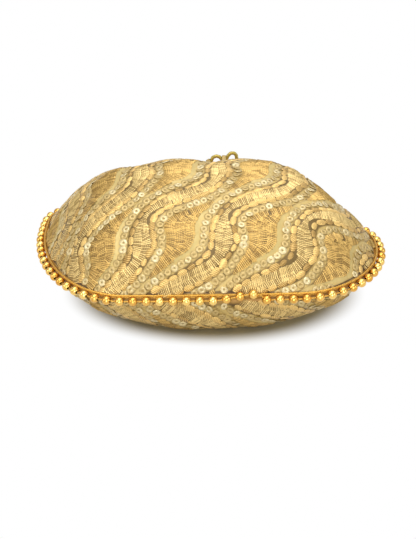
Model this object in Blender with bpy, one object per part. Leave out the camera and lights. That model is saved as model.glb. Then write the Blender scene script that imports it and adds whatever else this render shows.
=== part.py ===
"""A potli bag: a gathered drawstring pouch of embroidered cloth, stuffed out, with beads along its seam.

The bag lies on its back panel. X runs across it, Y from the rounded bottom seam towards the gathered
mouth, and Z up from the table. The sewing pattern's own zero is the middle of the bottom bead row, and
an empty carries every piece so that the finished bag stands over the origin.
"""

import math

import bpy
import numpy as np
from mathutils import Vector

MM = 0.001

# Outline of the bead row, seen from above
BASE_HALF = 52 * MM  # half of the straight run along the bottom
LEFT_HALF = 114.5 * MM
RIGHT_HALF = 109.8 * MM
LEFT_WIDEST = 101 * MM  # how far behind the bottom row the left side is widest
RIGHT_WIDEST = 67 * MM
LEFT_SHOULDER = 2.1  # above 1, the shoulder stays wide before it runs in to the neck
RIGHT_SHOULDER = 1.2

# Seam height over the table
SEAM_HEIGHT = 33 * MM
SEAM_TILT = 0.017  # rise to the right, per metre across
SEAM_BOW = 0.13  # rise towards both sides, per square metre across
SEAM_GAP = 0.3 * MM  # between the front and the back pieces

# Front hump and back sag
HUMP_HEIGHT = 53.5 * MM  # over the seam
HUMP_DISTANCE = 95 * MM  # the hump's top, behind the bottom row
HUMP_ONSET = 0.6  # how steeply the cloth leaves the bottom seam, less is steeper
HUMP_FALL = 0.6  # how soon it falls towards the neck, less is sooner
HUMP_POWER = 3.4  # squareness of the cross-section
HUMP_SIDE = 1.0
HUMP_LEAN = -6 * MM  # the hump's middle, to the side of the bottom row's middle
BELLY_DEPTH = 36 * MM  # what the back panel would sag under the seam without the table
BELLY_DISTANCE = 49 * MM
BELLY_ONSET = 0.367
BELLY_SIDE = 0.6

# Gathered neck and mouth
NECK_DISTANCE = 185 * MM  # the drawstring, behind the bottom row
NECK_RADIUS = 18.5 * MM
NECK_SIDE = 9.4 * MM
NECK_HEIGHT = 33.5 * MM
NECK_RUN = 57 * MM  # how far before the neck the body starts to turn into it
COLLAR_HALF = 6 * MM  # half the length of the straight neck under the drawstring
FRILL_LENGTH = 16 * MM
FRILL_FLARE = 11 * MM
FRILL_DROOP = 11 * MM
FOLD_DEPTH = 1.7 * MM
FOLD_RUN = 29 * MM  # how far before the neck the folds start
FRILL_WAVE = 0.9  # how much deeper the folds are at the mouth's edge
# Soft creases that run from the neck over the shoulders: degrees from the middle, depth, width in degrees
CREASES = ((-24, 2.4 * MM, 7), (3, 3.0 * MM, 6), (52, 2.6 * MM, 7))
CREASE_RUN = 60 * MM  # how far before the turn into the neck they start

# Cloth
CLOTH = 1.2 * MM
LINING = 0.8 * MM
LINING_GAP = 0.35 * MM  # where the lining is sewn in, at the seam and the mouth
LINING_SLACK = 1.2 * MM  # how much further in it hangs between them
LINING_RUN = 32 * MM  # how far behind the seam it hangs free

# Beads and piping
BEAD_RADIUS = 2.5 * MM
BEAD_PITCH = 8.1 * MM
BEAD_GAP = 0.35 * MM  # to the cloth
THREAD_RADIUS = 0.6 * MM
BEAD_PROFILE = ((-1, 0), (-0.5, 0.96), (0.5, 0.96), (1, 0))  # along the thread and out from it, in radii
TRIM_STOP = 19 * MM  # how far before the neck the beads and the piping stop
PIPING_RADIUS = 0.9 * MM
PIPING_GAP = 0.45 * MM  # to the beads
PIPING_LEAN = math.radians(57)  # how steeply it lies above the beads, from straight inwards

# Drawstring and its carriers
CORD_RADIUS = 1.4 * MM
CORD_GAP = 0.3 * MM
TABLE_GAP = 0.2 * MM
CARRIERS = 12  # places around the neck, one of which the drawstring's ends leave by
EXIT_PLACE = 10
CARRIER_HALF_WIDTH = 2.0 * MM
CARRIER_HALF_LENGTH = 5.0 * MM
CARRIER_THICK = 0.8 * MM
CARRIER_SLACK = 0.5 * MM
LOOSE_END = 0.3  # how far the drawstring runs on past its last carriers, in places
KNOT_RADIUS = 4.4 * MM
KNOT_TIP = 9 * MM
# The knot's length and thickness, in diameters and in radii
KNOT_PROFILE = ((0, 0.45), (0.12, 0.75), (0.35, 0.97), (0.62, 0.97), (0.86, 0.75), (1, 0.35))
# How far the drawstring bows out of each gap between the carriers, from its right end over the top
BOWS = tuple(rise * MM for rise in (2.2, 2.4, 2.8, 5.2, 2.6, 3.2, 2.4, 2.6, 3.0, 2.2))

# Routes of the free ends over the table, from the neck, in the pattern's own frame
TAIL_RIGHT = (
    (26.2, 185, 19.5), (24.7, 185.1, 16.4), (25.3, 186, 12.6), (29, 188, 9.0), (35.5, 191, 5.4),
    (43, 194, 2.7), (52, 197, 1.7), (61.5, 199.5, 1.6), (70.5, 200, 1.6), (79, 197.6, 1.6),
    (86, 192.4, 1.6), (90, 185, 2.4), (91.5, 178, 4.6), (91.8, 172, 4.6),
)
TAIL_LEFT = (
    (13.1, 185, 11.9), (17.2, 185.2, 11.4), (21.8, 187, 8.9), (25.6, 190.5, 5.6), (28.4, 195.5, 3.0),
    (30.6, 202, 1.8), (30.5, 209, 1.6), (26, 215, 1.6), (18.5, 218.6, 1.6), (9.5, 220, 1.6),
    (0, 219.6, 1.6), (-9, 217.5, 2.4), (-16, 214, 4.6), (-21.2, 210.6, 4.6),
)

# Fineness of the faceted surfaces
OUTLINE_STEPS = 120
ACROSS = 30
BODY_ROWS = 12
ROW_CROWDING = 1.8  # above 1, rows lie closer together near the bottom seam
NECK_ROWS = 7
MOUTH_ROWS = 3
BEAD_SIDES = 6
PIPING_POINTS = 84
BOW_POINTS = 8
CARRIER_STEPS = 8
KNOT_SIDES = 8

INSET = BEAD_RADIUS + BEAD_GAP  # from the bead row to the cloth's edge
NECK_START = NECK_DISTANCE - COLLAR_HALF
NECK_END = NECK_DISTANCE + COLLAR_HALF
MOUTH_DISTANCE = NECK_END + FRILL_LENGTH
NECK_ONSET = NECK_START - NECK_RUN
FOLD_ONSET = NECK_START - FOLD_RUN
CREASE_ONSET = NECK_ONSET - CREASE_RUN
TRIM_END = NECK_START - TRIM_STOP


def smooth(value, start, end):
    """0 before start, 1 after end, and a soft step between them."""
    t = np.clip((np.asarray(value, float) - start) / (end - start), 0, 1)
    return t * t * (3 - 2 * t)


def side_line(side, inset=0.0):
    """One side of the outline from the bottom's straight run to the neck, moved in by inset: x and y."""
    half, widest, shoulder = (
        (LEFT_HALF, LEFT_WIDEST, LEFT_SHOULDER) if side < 0 else (RIGHT_HALF, RIGHT_WIDEST, RIGHT_SHOULDER)
    )
    turn = np.linspace(0, math.pi / 2, OUTLINE_STEPS)
    corner = np.stack([BASE_HALF + (half - BASE_HALF) * np.sin(turn), widest * (1 - np.cos(turn))], 1)
    t = np.linspace(0, 1, OUTLINE_STEPS)[1:]
    end = side * NECK_SIDE + NECK_RADIUS + INSET
    run_in = end + (half - end) * (0.5 + 0.5 * np.cos(math.pi * t**shoulder))
    line = np.concatenate([corner, np.stack([run_in, widest + (NECK_START - widest) * t], 1)])
    along = np.gradient(line, axis=0)
    inward = np.stack([-along[:, 1], along[:, 0]], 1) / np.linalg.norm(along, axis=1)[:, None]
    line = line + inset * inward
    return side * line[:, 0], line[:, 1]


def neck_share(y):
    """How far the body has turned into the neck: 0 on the body, 1 at the neck."""
    return smooth(y, NECK_ONSET, NECK_START)


def frill_share(y):
    """0 at the neck, 1 at the mouth's edge."""
    return np.clip((y - NECK_END) / FRILL_LENGTH, 0, 1)


def edges(y):
    """The cloth's left and right edge at a distance y behind the bottom row."""
    flare = NECK_RADIUS + FRILL_FLARE * frill_share(y)
    found = []
    for side in (-1, 1):
        x_line, y_line = side_line(side, INSET)
        on_body = np.interp(y, y_line, x_line)
        found.append(np.where(y < NECK_START, on_body, NECK_SIDE + side * flare))
    return found


def seam_height(x, y):
    """Height of the seam's plane over the table."""
    body = SEAM_HEIGHT + SEAM_TILT * x + SEAM_BOW * x * x
    neck = NECK_HEIGHT - FRILL_DROOP * frill_share(y)
    return body + (neck - body) * neck_share(y)


def cloth_point(turn, y, front, depth, radial=0.0):
    """Points of a panel: turn runs from -90 degrees at the left edge to 90 at the right, in radians.

    depth is how far the points lie inside the panel's outer face, and radial how far outside it, which
    is only used at the neck.
    """
    turn, y = np.broadcast_arrays(np.asarray(turn, float), np.asarray(y, float))
    neck, frill = neck_share(y), frill_share(y)
    left, right = edges(y)
    middle = HUMP_LEAN * smooth(y, 0, HUMP_DISTANCE) * (1 - neck) + NECK_SIDE * neck
    across, up = np.sin(turn), np.cos(turn)
    reach = np.where(across < 0, middle - left, right - middle) - depth + radial
    onset = HUMP_DISTANCE if front else BELLY_DISTANCE
    start = np.clip((y - INSET) / (onset - INSET), 0, 1)
    if front:
        rise = HUMP_HEIGHT * (1 - (1 - start) ** 2) ** HUMP_ONSET
        back = np.clip((y - HUMP_DISTANCE) / (NECK_START - HUMP_DISTANCE), 0, 1)
        fall = NECK_RADIUS + (HUMP_HEIGHT - NECK_RADIUS) * np.cos(math.pi / 2 * back**HUMP_FALL)
        height = np.where(y < HUMP_DISTANCE, rise, fall)
        full, sign = HUMP_HEIGHT, 1
        power, side = HUMP_POWER + (2 - HUMP_POWER) * neck, HUMP_SIDE + (0.5 - HUMP_SIDE) * neck
    else:
        height = (BELLY_DEPTH * (1 - neck) + NECK_RADIUS * neck) * (1 - (1 - start) ** 2) ** BELLY_ONSET
        full, sign = BELLY_DEPTH, -1
        power, side = 2, BELLY_SIDE + (0.5 - BELLY_SIDE) * neck
    thinned = np.where(y < onset, height * (1 - depth / full), height - depth) + radial
    profile = np.maximum(1 - np.abs(across) ** power, 0) ** side
    fold = FOLD_DEPTH * smooth(y, FOLD_ONSET, NECK_START) * (1 + FRILL_WAVE * frill)
    fold = fold * np.cos(CARRIERS * (math.pi / 2 - turn))
    x = middle + reach * across + fold * across
    lift = thinned * profile + fold * up
    if front:
        ramp = smooth(y, CREASE_ONSET, NECK_ONSET) * (1 - smooth(y, FOLD_ONSET, NECK_START))
        for degrees, deep, wide in CREASES:
            lift = lift - deep * ramp * np.exp(-(((np.degrees(turn) - degrees) / wide) ** 2))
    height = seam_height(x, y) + sign * (SEAM_GAP / 2 + lift)
    if not front:
        height = np.maximum(height, depth - radial)
    return np.stack([x, y + depth * (1 - start) * (y < onset), height], -1)


def rows(stride):
    """Distances behind the bottom row at which the cloth is worked out, on the body every stride-th one."""
    body = INSET + (NECK_ONSET - INSET) * np.linspace(0, 1, BODY_ROWS) ** ROW_CROWDING
    neck = np.linspace(NECK_ONSET, NECK_START, NECK_ROWS + 1)[1:]
    kept = np.concatenate([body[::-1][::stride][::-1], neck])
    mouth = np.linspace(NECK_END, MOUTH_DISTANCE, MOUTH_ROWS + 1)
    return np.unique(np.concatenate([[INSET], kept, mouth]))


def material(name, colour, metallic, roughness):
    """A Principled material with one colour."""
    made = bpy.data.materials.new(name)
    made.use_nodes = True
    shader = made.node_tree.nodes["Principled BSDF"]
    shader.inputs["Base Color"].default_value = (*colour, 1)
    shader.inputs["Metallic"].default_value = metallic
    shader.inputs["Roughness"].default_value = roughness
    return made


def add_object(name, data, carrier, finish):
    """An object of the bag, carried by its empty."""
    made = bpy.data.objects.new(name, data)
    bpy.context.collection.objects.link(made)
    made.parent = carrier
    data.materials.append(material(name, *finish))
    return made


def add_mesh(name, points, faces, carrier, finish, rounded=True):
    """A mesh object from points and faces."""
    mesh = bpy.data.meshes.new(name)
    mesh.from_pydata([tuple(p) for p in points], [], faces)
    mesh.validate()
    if rounded:
        mesh.shade_smooth()
    return add_object(name, mesh, carrier, finish)


def add_shell(name, front, ys, outer_depth, inner_depth, carrier, finish):
    """A cloth panel: an outer and an inner face over the same grid, joined along their rim."""
    turns = np.linspace(-math.pi / 2, math.pi / 2, ACROSS + 1)
    turn_grid, y_grid = np.meshgrid(turns, ys)
    outer = cloth_point(turn_grid, y_grid, front, outer_depth(y_grid))
    inner = cloth_point(turn_grid, y_grid, front, inner_depth(y_grid))
    count, wide = outer.shape[:2]
    points = np.concatenate([outer.reshape(-1, 3), inner.reshape(-1, 3)])
    shift = count * wide
    faces = []
    for j in range(count - 1):
        for i in range(wide - 1):
            a, b, c, d = j * wide + i, j * wide + i + 1, (j + 1) * wide + i + 1, (j + 1) * wide + i
            faces += [(a, b, c, d), (a + shift, d + shift, c + shift, b + shift)]
    rim = list(range(wide))
    rim += [j * wide + wide - 1 for j in range(1, count)]
    rim += [(count - 1) * wide + i for i in range(wide - 2, -1, -1)]
    rim += [j * wide for j in range(count - 2, 0, -1)]
    for a, b in zip(rim, rim[1:] + rim[:1]):
        faces.append((b, a, a + shift, b + shift))
    if not front:
        faces = [face[::-1] for face in faces]
    return add_mesh(name, points, faces, carrier, finish)


def panel_face(y):
    """The panel's outer face is the one that every depth counts from."""
    return np.zeros_like(y)


def panel_back(y):
    """How far the panel's inner face lies inside its outer one."""
    return np.full_like(y, CLOTH)


def lining_face(y):
    """How far the lining's outer face lies inside the panel's outer face."""
    loose = smooth(y, INSET, INSET + LINING_RUN) * (1 - smooth(y, FOLD_ONSET, MOUTH_DISTANCE))
    return CLOTH + LINING_GAP + LINING_SLACK * loose


def lining_back(y):
    """How far the lining's inner face lies inside the panel's outer face."""
    return lining_face(y) + LINING


def trim_line():
    """The bead row from its left end around the bottom to its right end, and the distances along it."""
    lines = []
    for side in (-1, 1):
        x_line, y_line = side_line(side)
        kept = y_line <= TRIM_END
        lines.append(np.stack([x_line[kept], y_line[kept]], 1))
    line = np.concatenate([lines[0][::-1], lines[1]])
    steps = np.linalg.norm(np.diff(line, axis=0), axis=1)
    return line, np.concatenate([[0], np.cumsum(steps)])


def trim_points(places):
    """Points of the bead row at the given distances along it."""
    line, along = trim_line()
    x, y = (np.interp(places, along, line[:, k]) for k in (0, 1))
    return np.stack([x, y, seam_height(x, y)], 1)


def frames(line):
    """The line's direction and two directions square to it, at each point."""
    along = np.gradient(line, axis=0)
    along /= np.linalg.norm(along, axis=1)[:, None]
    side = np.cross(along, [0, 0, 1])
    side /= np.linalg.norm(side, axis=1)[:, None]
    return along, side, np.cross(side, along)


def add_turned(name, line, radii, sides, carrier, finish):
    """A round body that follows a line, with its own radius at each point, closed at both ends."""
    _, side, up = frames(line)
    rings = []
    for k in range(sides):
        angle = 2 * math.pi * (k + 0.5) / sides
        rings.append(line + radii[:, None] * (math.cos(angle) * side + math.sin(angle) * up))
    points = np.stack(rings, 1).reshape(-1, 3)
    faces = [tuple(range(sides))]
    faces.append(tuple(len(points) - 1 - k for k in range(sides)))
    for j in range(len(line) - 1):
        for k in range(sides):
            a, b = j * sides + k, j * sides + (k + 1) % sides
            faces.append((a, a + sides, b + sides, b))
    return add_mesh(name, points, faces, carrier, finish)


def add_beads(carrier, finish):
    """The bead row: each bead is fused to the thread that runs through it."""
    length = trim_line()[1][-1]
    beads = round(length / BEAD_PITCH)
    places, radii = [], []
    for number in range(beads):
        for along, out in BEAD_PROFILE:
            places.append(length / beads * (number + 0.5) + along * BEAD_RADIUS)
            radii.append(max(THREAD_RADIUS, out * BEAD_RADIUS))
    return add_turned("bead_strand", trim_points(places), np.array(radii), BEAD_SIDES, carrier, finish)


def add_piping(carrier, finish):
    """The gold cord that lies against the front panel just above the beads."""
    points = trim_points(np.linspace(0, trim_line()[1][-1], PIPING_POINTS))
    along = np.gradient(points[:, :2], axis=0)
    inward = np.stack([-along[:, 1], along[:, 0]], 1) / np.linalg.norm(along, axis=1)[:, None]
    reach = BEAD_RADIUS + PIPING_GAP + PIPING_RADIUS
    points[:, :2] += inward * reach * math.cos(PIPING_LEAN)
    points[:, 2] += reach * math.sin(PIPING_LEAN)
    radii = np.full(len(points), PIPING_RADIUS)
    return add_turned("seam_piping", points, radii, BEAD_SIDES, carrier, finish)


def neck_point(angle, y, radial):
    """A point over the neck's outer face, at an angle counted from the right seam over the top."""
    angle = math.remainder(angle, 2 * math.pi)
    front = angle >= 0
    turn = math.pi / 2 - angle if front else math.pi / 2 + angle
    return cloth_point(turn, y, front, 0.0, radial)


def add_carrier(name, angle, carrier, finish):
    """A small cloth loop, sewn down at both ends, that the drawstring runs under."""
    sideways = np.array([-math.sin(angle), 0, math.cos(angle)]) * CARRIER_HALF_WIDTH
    points = []
    for k in range(CARRIER_STEPS + 1):
        offset = CARRIER_HALF_LENGTH * (2 * k / CARRIER_STEPS - 1)
        bulge = math.cos(math.pi / 2 * offset / CARRIER_HALF_LENGTH) ** 2
        under = CORD_GAP + (2 * CORD_RADIUS + CARRIER_SLACK) * bulge
        low = neck_point(angle, NECK_DISTANCE + offset, under)
        high = neck_point(angle, NECK_DISTANCE + offset, under + CARRIER_THICK)
        points += [low - sideways, low + sideways, high + sideways, high - sideways]
    faces = [(3, 2, 1, 0), tuple(4 * CARRIER_STEPS + k for k in range(4))]
    for j in range(CARRIER_STEPS):
        for k in range(4):
            a, b = 4 * j + k, 4 * j + (k + 1) % 4
            faces.append((a, b, b + 4, a + 4))
    return add_mesh(name, points, faces, carrier, finish)


def add_cord(name, points, carrier, finish):
    """A round cord along a smooth line of points."""
    curve = bpy.data.curves.new(name, "CURVE")
    curve.dimensions = "3D"
    curve.bevel_depth = CORD_RADIUS
    curve.bevel_resolution = 2
    curve.use_fill_caps = True
    curve.resolution_u = 1
    curve.render_resolution_u = 0
    spline = curve.splines.new("POLY")
    spline.points.add(len(points) - 1)
    for point, place in zip(spline.points, points):
        point.co = (*place, 1)
    return add_object(name, curve, carrier, finish)


def run_points():
    """The drawstring around the neck, from its right end over the top to its left end."""
    step = 2 * math.pi / CARRIERS
    first = step * (EXIT_PLACE + 1) - 2 * math.pi
    bows = CARRIERS - 2
    ring = NECK_RADIUS + FOLD_DEPTH + CORD_GAP + CORD_RADIUS
    held = (CARRIER_HALF_WIDTH + CORD_GAP) / (ring * step)
    places = [-LOOSE_END, *(k / BOW_POINTS for k in range(BOW_POINTS * bows + 1)), bows + LOOSE_END]
    points = []
    for place in places:
        number = int(min(max(place, 0), bows - 1))
        free = min(max((place - number - held) / (1 - 2 * held), 0), 1)
        reach = ring + BOWS[number % len(BOWS)] * math.sin(math.pi * free) ** 2
        angle = first + step * place
        points.append(
            (NECK_SIDE + reach * math.cos(angle), NECK_DISTANCE, NECK_HEIGHT + reach * math.sin(angle))
        )
    return points


def smooth_route(places):
    """Points every few millimetres on a smooth curve through a route's own points."""
    route = [Vector(place) * MM for place in places]
    ends = [2 * route[0] - route[1], *route, 2 * route[-1] - route[-2]]
    points = []
    for a, b, c, d in zip(ends, ends[1:], ends[2:], ends[3:]):
        for t in (0, 0.5):
            square = 2 * a - 5 * b + 4 * c - d
            cube = 3 * b - a - 3 * c + d
            points.append(b + 0.5 * ((c - a) * t + square * t**2 + cube * t**3))
    return [*points, route[-1]]


def add_knot(name, route, carrier, finish):
    """The knot at a tail's end, with the short tip that comes out of it and droops to the table."""
    end = route[-1]
    along = end - route[-2]
    along.z = 0
    along.normalize()
    line = [end + along * (CORD_GAP + 2 * KNOT_RADIUS * share) for share, _ in KNOT_PROFILE]
    radii = [KNOT_RADIUS * size for _, size in KNOT_PROFILE]
    last = line[-1]
    for share in (0.5, 1):
        tip = last + along * KNOT_TIP * share
        tip.z += (CORD_RADIUS + TABLE_GAP - end.z) * share
        line.append(tip)
        radii.append(CORD_RADIUS)
    points = np.array([tuple(p) for p in line])
    return add_turned(name, points, np.array(radii), KNOT_SIDES, carrier, finish)


def build():
    """Makes the bag's pieces and carries them to the origin."""
    for old in list(bpy.data.objects):
        bpy.data.objects.remove(old, do_unlink=True)
    bag = bpy.data.objects.new("potli_bag", None)
    bpy.context.collection.objects.link(bag)

    gold_cloth = ((0.62, 0.44, 0.19), 0.25, 0.55)
    satin = ((0.60, 0.45, 0.24), 0.0, 0.4)
    gold = ((0.72, 0.44, 0.10), 1.0, 0.2)
    zari = ((0.42, 0.34, 0.10), 0.6, 0.45)

    pieces = []
    for name, front in (("front", True), ("back", False)):
        pieces.append(add_shell(f"{name}_panel", front, rows(1), panel_face, panel_back, bag, gold_cloth))
        pieces.append(add_shell(f"{name}_lining", front, rows(2), lining_face, lining_back, bag, satin))
    pieces += [add_beads(bag, gold), add_piping(bag, gold)]
    step = 2 * math.pi / CARRIERS
    places = [k for k in range(CARRIERS) if k != EXIT_PLACE]
    for number, place in enumerate(places, 1):
        pieces.append(add_carrier(f"drawstring_carrier_{number:02d}", step * place, bag, gold_cloth))
    pieces.append(add_cord("drawstring_run", run_points(), bag, zari))
    for side, places in (("right", TAIL_RIGHT), ("left", TAIL_LEFT)):
        route = smooth_route(places)
        add_cord(f"drawstring_tail_{side}", route, bag, zari)
        add_knot(f"end_knot_{side}", route, bag, zari)

    corners = np.array([tuple(v.co) for o in pieces if o.type == "MESH" for v in o.data.vertices])
    low, high = corners.min(0), corners.max(0)
    bag.location = (-(low[0] + high[0]) / 2, -(low[1] + high[1]) / 2, 0)


build()
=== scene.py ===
"""The looks of a potli bag: embroidered gold cloth, sequins, beads, a twisted drawstring and a pale studio.

Lengths are in metres. The cloth's shape is worked out in the sewing pattern's own frame, whose zero is the
middle of the bottom bead row, and every mesh is moved from there to where the frame's solids stand.
"""
from __future__ import annotations

import logging
import math
from dataclasses import dataclass
from enum import Enum
from typing import Any, Callable, Iterable, Sequence

import bpy
import numpy as np
from bpy.types import Material, Mesh, Node, NodeSocket, NodeTree, Object
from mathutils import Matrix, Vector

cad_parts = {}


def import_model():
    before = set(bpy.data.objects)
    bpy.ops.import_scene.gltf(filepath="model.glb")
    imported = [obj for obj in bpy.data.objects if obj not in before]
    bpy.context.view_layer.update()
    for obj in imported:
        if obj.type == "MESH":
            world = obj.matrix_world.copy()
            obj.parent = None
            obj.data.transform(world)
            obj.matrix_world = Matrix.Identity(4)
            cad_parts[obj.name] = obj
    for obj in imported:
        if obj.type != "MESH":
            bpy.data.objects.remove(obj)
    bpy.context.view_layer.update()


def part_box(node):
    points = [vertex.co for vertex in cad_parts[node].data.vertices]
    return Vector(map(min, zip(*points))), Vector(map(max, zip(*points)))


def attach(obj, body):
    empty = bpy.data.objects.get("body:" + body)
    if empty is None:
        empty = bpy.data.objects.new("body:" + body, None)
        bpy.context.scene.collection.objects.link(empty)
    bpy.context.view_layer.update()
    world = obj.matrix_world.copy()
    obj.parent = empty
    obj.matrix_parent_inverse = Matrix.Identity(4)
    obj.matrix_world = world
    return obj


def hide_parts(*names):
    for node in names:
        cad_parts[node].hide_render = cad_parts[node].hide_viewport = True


log = logging.getLogger("potli_bag")

MM = 0.001
BODY = "root"
BED = 0.05 * MM  # how far the lowest threads stay over the table
ROUND = 2 * math.pi
UP = (0.0, 0.0, 1.0)
ELLIPSE_POWER = 2
ELLIPSE_SIDE = 0.5  # together with the power above, it makes a section round
WAVE_RATE = 20  # how far Blender's wave texture turns over one unit of its map, in radians
CORD_TONE = 0.3  # how light a twisted cord is between its deep and its light colour


class Face(Enum):
    """The two cloth panels of the bag."""

    FRONT = "front"
    BACK = "back"


class Line(Enum):
    """The two families of waves that the sequins are sewn along."""

    RISING = "rising"
    FALLING = "falling"


def smooth(value: Any, start: float, end: float) -> np.ndarray:
    """Makes a soft step.

    Args:
        value: where the step is read, a number or an array.
        start: the step is 0 before it.
        end: the step is 1 after it.

    Returns:
        The step's height, as an array.
    """
    t = np.clip((np.asarray(value, float) - start) / (end - start), 0, 1)
    return t * t * (3 - 2 * t)


def unit(vectors: np.ndarray) -> np.ndarray:
    """Scales vectors, given along the last axis, to a length of one."""
    return vectors / np.maximum(np.linalg.norm(vectors, axis=-1, keepdims=True), 1e-12)


def linear(colour: str) -> tuple[float, float, float, float]:
    """Turns an sRGB hex colour into the linear values that a shader reads.

    Args:
        colour: six hex digits after a hash sign.

    Returns:
        Red, green, blue and an alpha of one.
    """
    channels = [int(colour[k : k + 2], 16) / 255 for k in (1, 3, 5)]
    bright = [c / 12.92 if c <= 0.04045 else ((c + 0.055) / 1.055) ** 2.4 for c in channels]
    return (*bright, 1.0)


def plug(tree: NodeTree, node: Node, inputs: dict[Any, Any]) -> None:
    """Sets a node's inputs.

    Args:
        tree: the node tree that holds it.
        node: the node.
        inputs: a value or a socket to link from, for each input's name or number.
    """
    for name, value in inputs.items():
        if isinstance(value, NodeSocket):
            tree.links.new(value, node.inputs[name])
        else:
            node.inputs[name].default_value = value


def add_node(tree: NodeTree, kind: str, inputs: dict[Any, Any] | None = None, **settings: Any) -> Any:
    """Adds a node with its settings, values and links.

    Args:
        tree: the node tree it goes into.
        kind: the node's type name.
        inputs: a value or a socket to link from, for each input's name or number.
        **settings: the node's own properties.

    Returns:
        The node.
    """
    made = tree.nodes.new(kind)
    for name, value in settings.items():
        setattr(made, name, value)
    plug(tree, made, inputs or {})
    return made


def calculate(
    tree: NodeTree, operation: str, first: Any, second: Any = 0.0, clamp: bool = False
) -> NodeSocket:
    """Adds a calculation with one or two values and gives its result."""
    inputs = {0: first, 1: second}
    return add_node(tree, "ShaderNodeMath", inputs, operation=operation, use_clamp=clamp).outputs[0]


def remapped(
    tree: NodeTree, value: Any, low: float, high: float, start: float = 0.0, end: float = 1.0
) -> NodeSocket:
    """Adds a map of the values from start to end onto those from low to high and gives its result."""
    return add_node(tree, "ShaderNodeMapRange", {0: value, 1: start, 2: end, 3: low, 4: high}).outputs[0]


def blended(tree: NodeTree, share: Any, first: Any, second: Any) -> NodeSocket:
    """Adds a blend of two colours, by a share of the second one, and gives its result."""
    return add_node(tree, "ShaderNodeMix", {0: share, 6: first, 7: second}, data_type="RGBA").outputs[2]


def noise(tree: NodeTree, place: Any, size: float, detail: float) -> NodeSocket:
    """Adds clouds of a size and gives their strength."""
    inputs = {"Vector": place, "Scale": 1 / size, "Detail": detail}
    return add_node(tree, "ShaderNodeTexNoise", inputs).outputs[0]


def bands(tree: NodeTree, place: Any, spacing: float, uneven: float, direction: str) -> NodeSocket:
    """Adds soft parallel bands and gives their strength."""
    inputs = {"Vector": place, "Scale": ROUND / (WAVE_RATE * spacing), "Distortion": uneven}
    return add_node(tree, "ShaderNodeTexWave", inputs, bands_direction=direction).outputs["Fac"]


def bumped(tree: NodeTree, height: Any, strength: float, depth: float) -> NodeSocket:
    """Adds a fine relief and gives its directions."""
    inputs = {"Height": height, "Strength": strength, "Distance": depth}
    return add_node(tree, "ShaderNodeBump", inputs).outputs[0]


def field_of(tree: NodeTree, name: str) -> NodeSocket:
    """Adds a reader of a number that the mesh holds at each point."""
    return add_node(tree, "ShaderNodeAttribute", attribute_name=name).outputs["Fac"]


def cloth_map(tree: NodeTree) -> NodeSocket:
    """Adds a reader of the mesh's own map."""
    return add_node(tree, "ShaderNodeUVMap", uv_map="cloth").outputs["UV"]


def new_finish(name: str) -> tuple[Material, NodeTree, Node]:
    """Makes a material and gives it with its node tree and its shader."""
    made = bpy.data.materials.new(name)
    made.use_nodes = True
    return made, made.node_tree, made.node_tree.nodes["Principled BSDF"]


def distances(path: np.ndarray) -> np.ndarray:
    """Gives how far along a path each of its points lies."""
    return np.concatenate([[0], np.cumsum(np.linalg.norm(np.diff(path, axis=0), axis=1))])


def along_path(at: np.ndarray, run: np.ndarray, path: np.ndarray) -> np.ndarray:
    """Gives a path's points at some distances, where run holds the distances of its own points."""
    return np.stack([np.interp(at, run, column) for column in path.T], 1)


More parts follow.
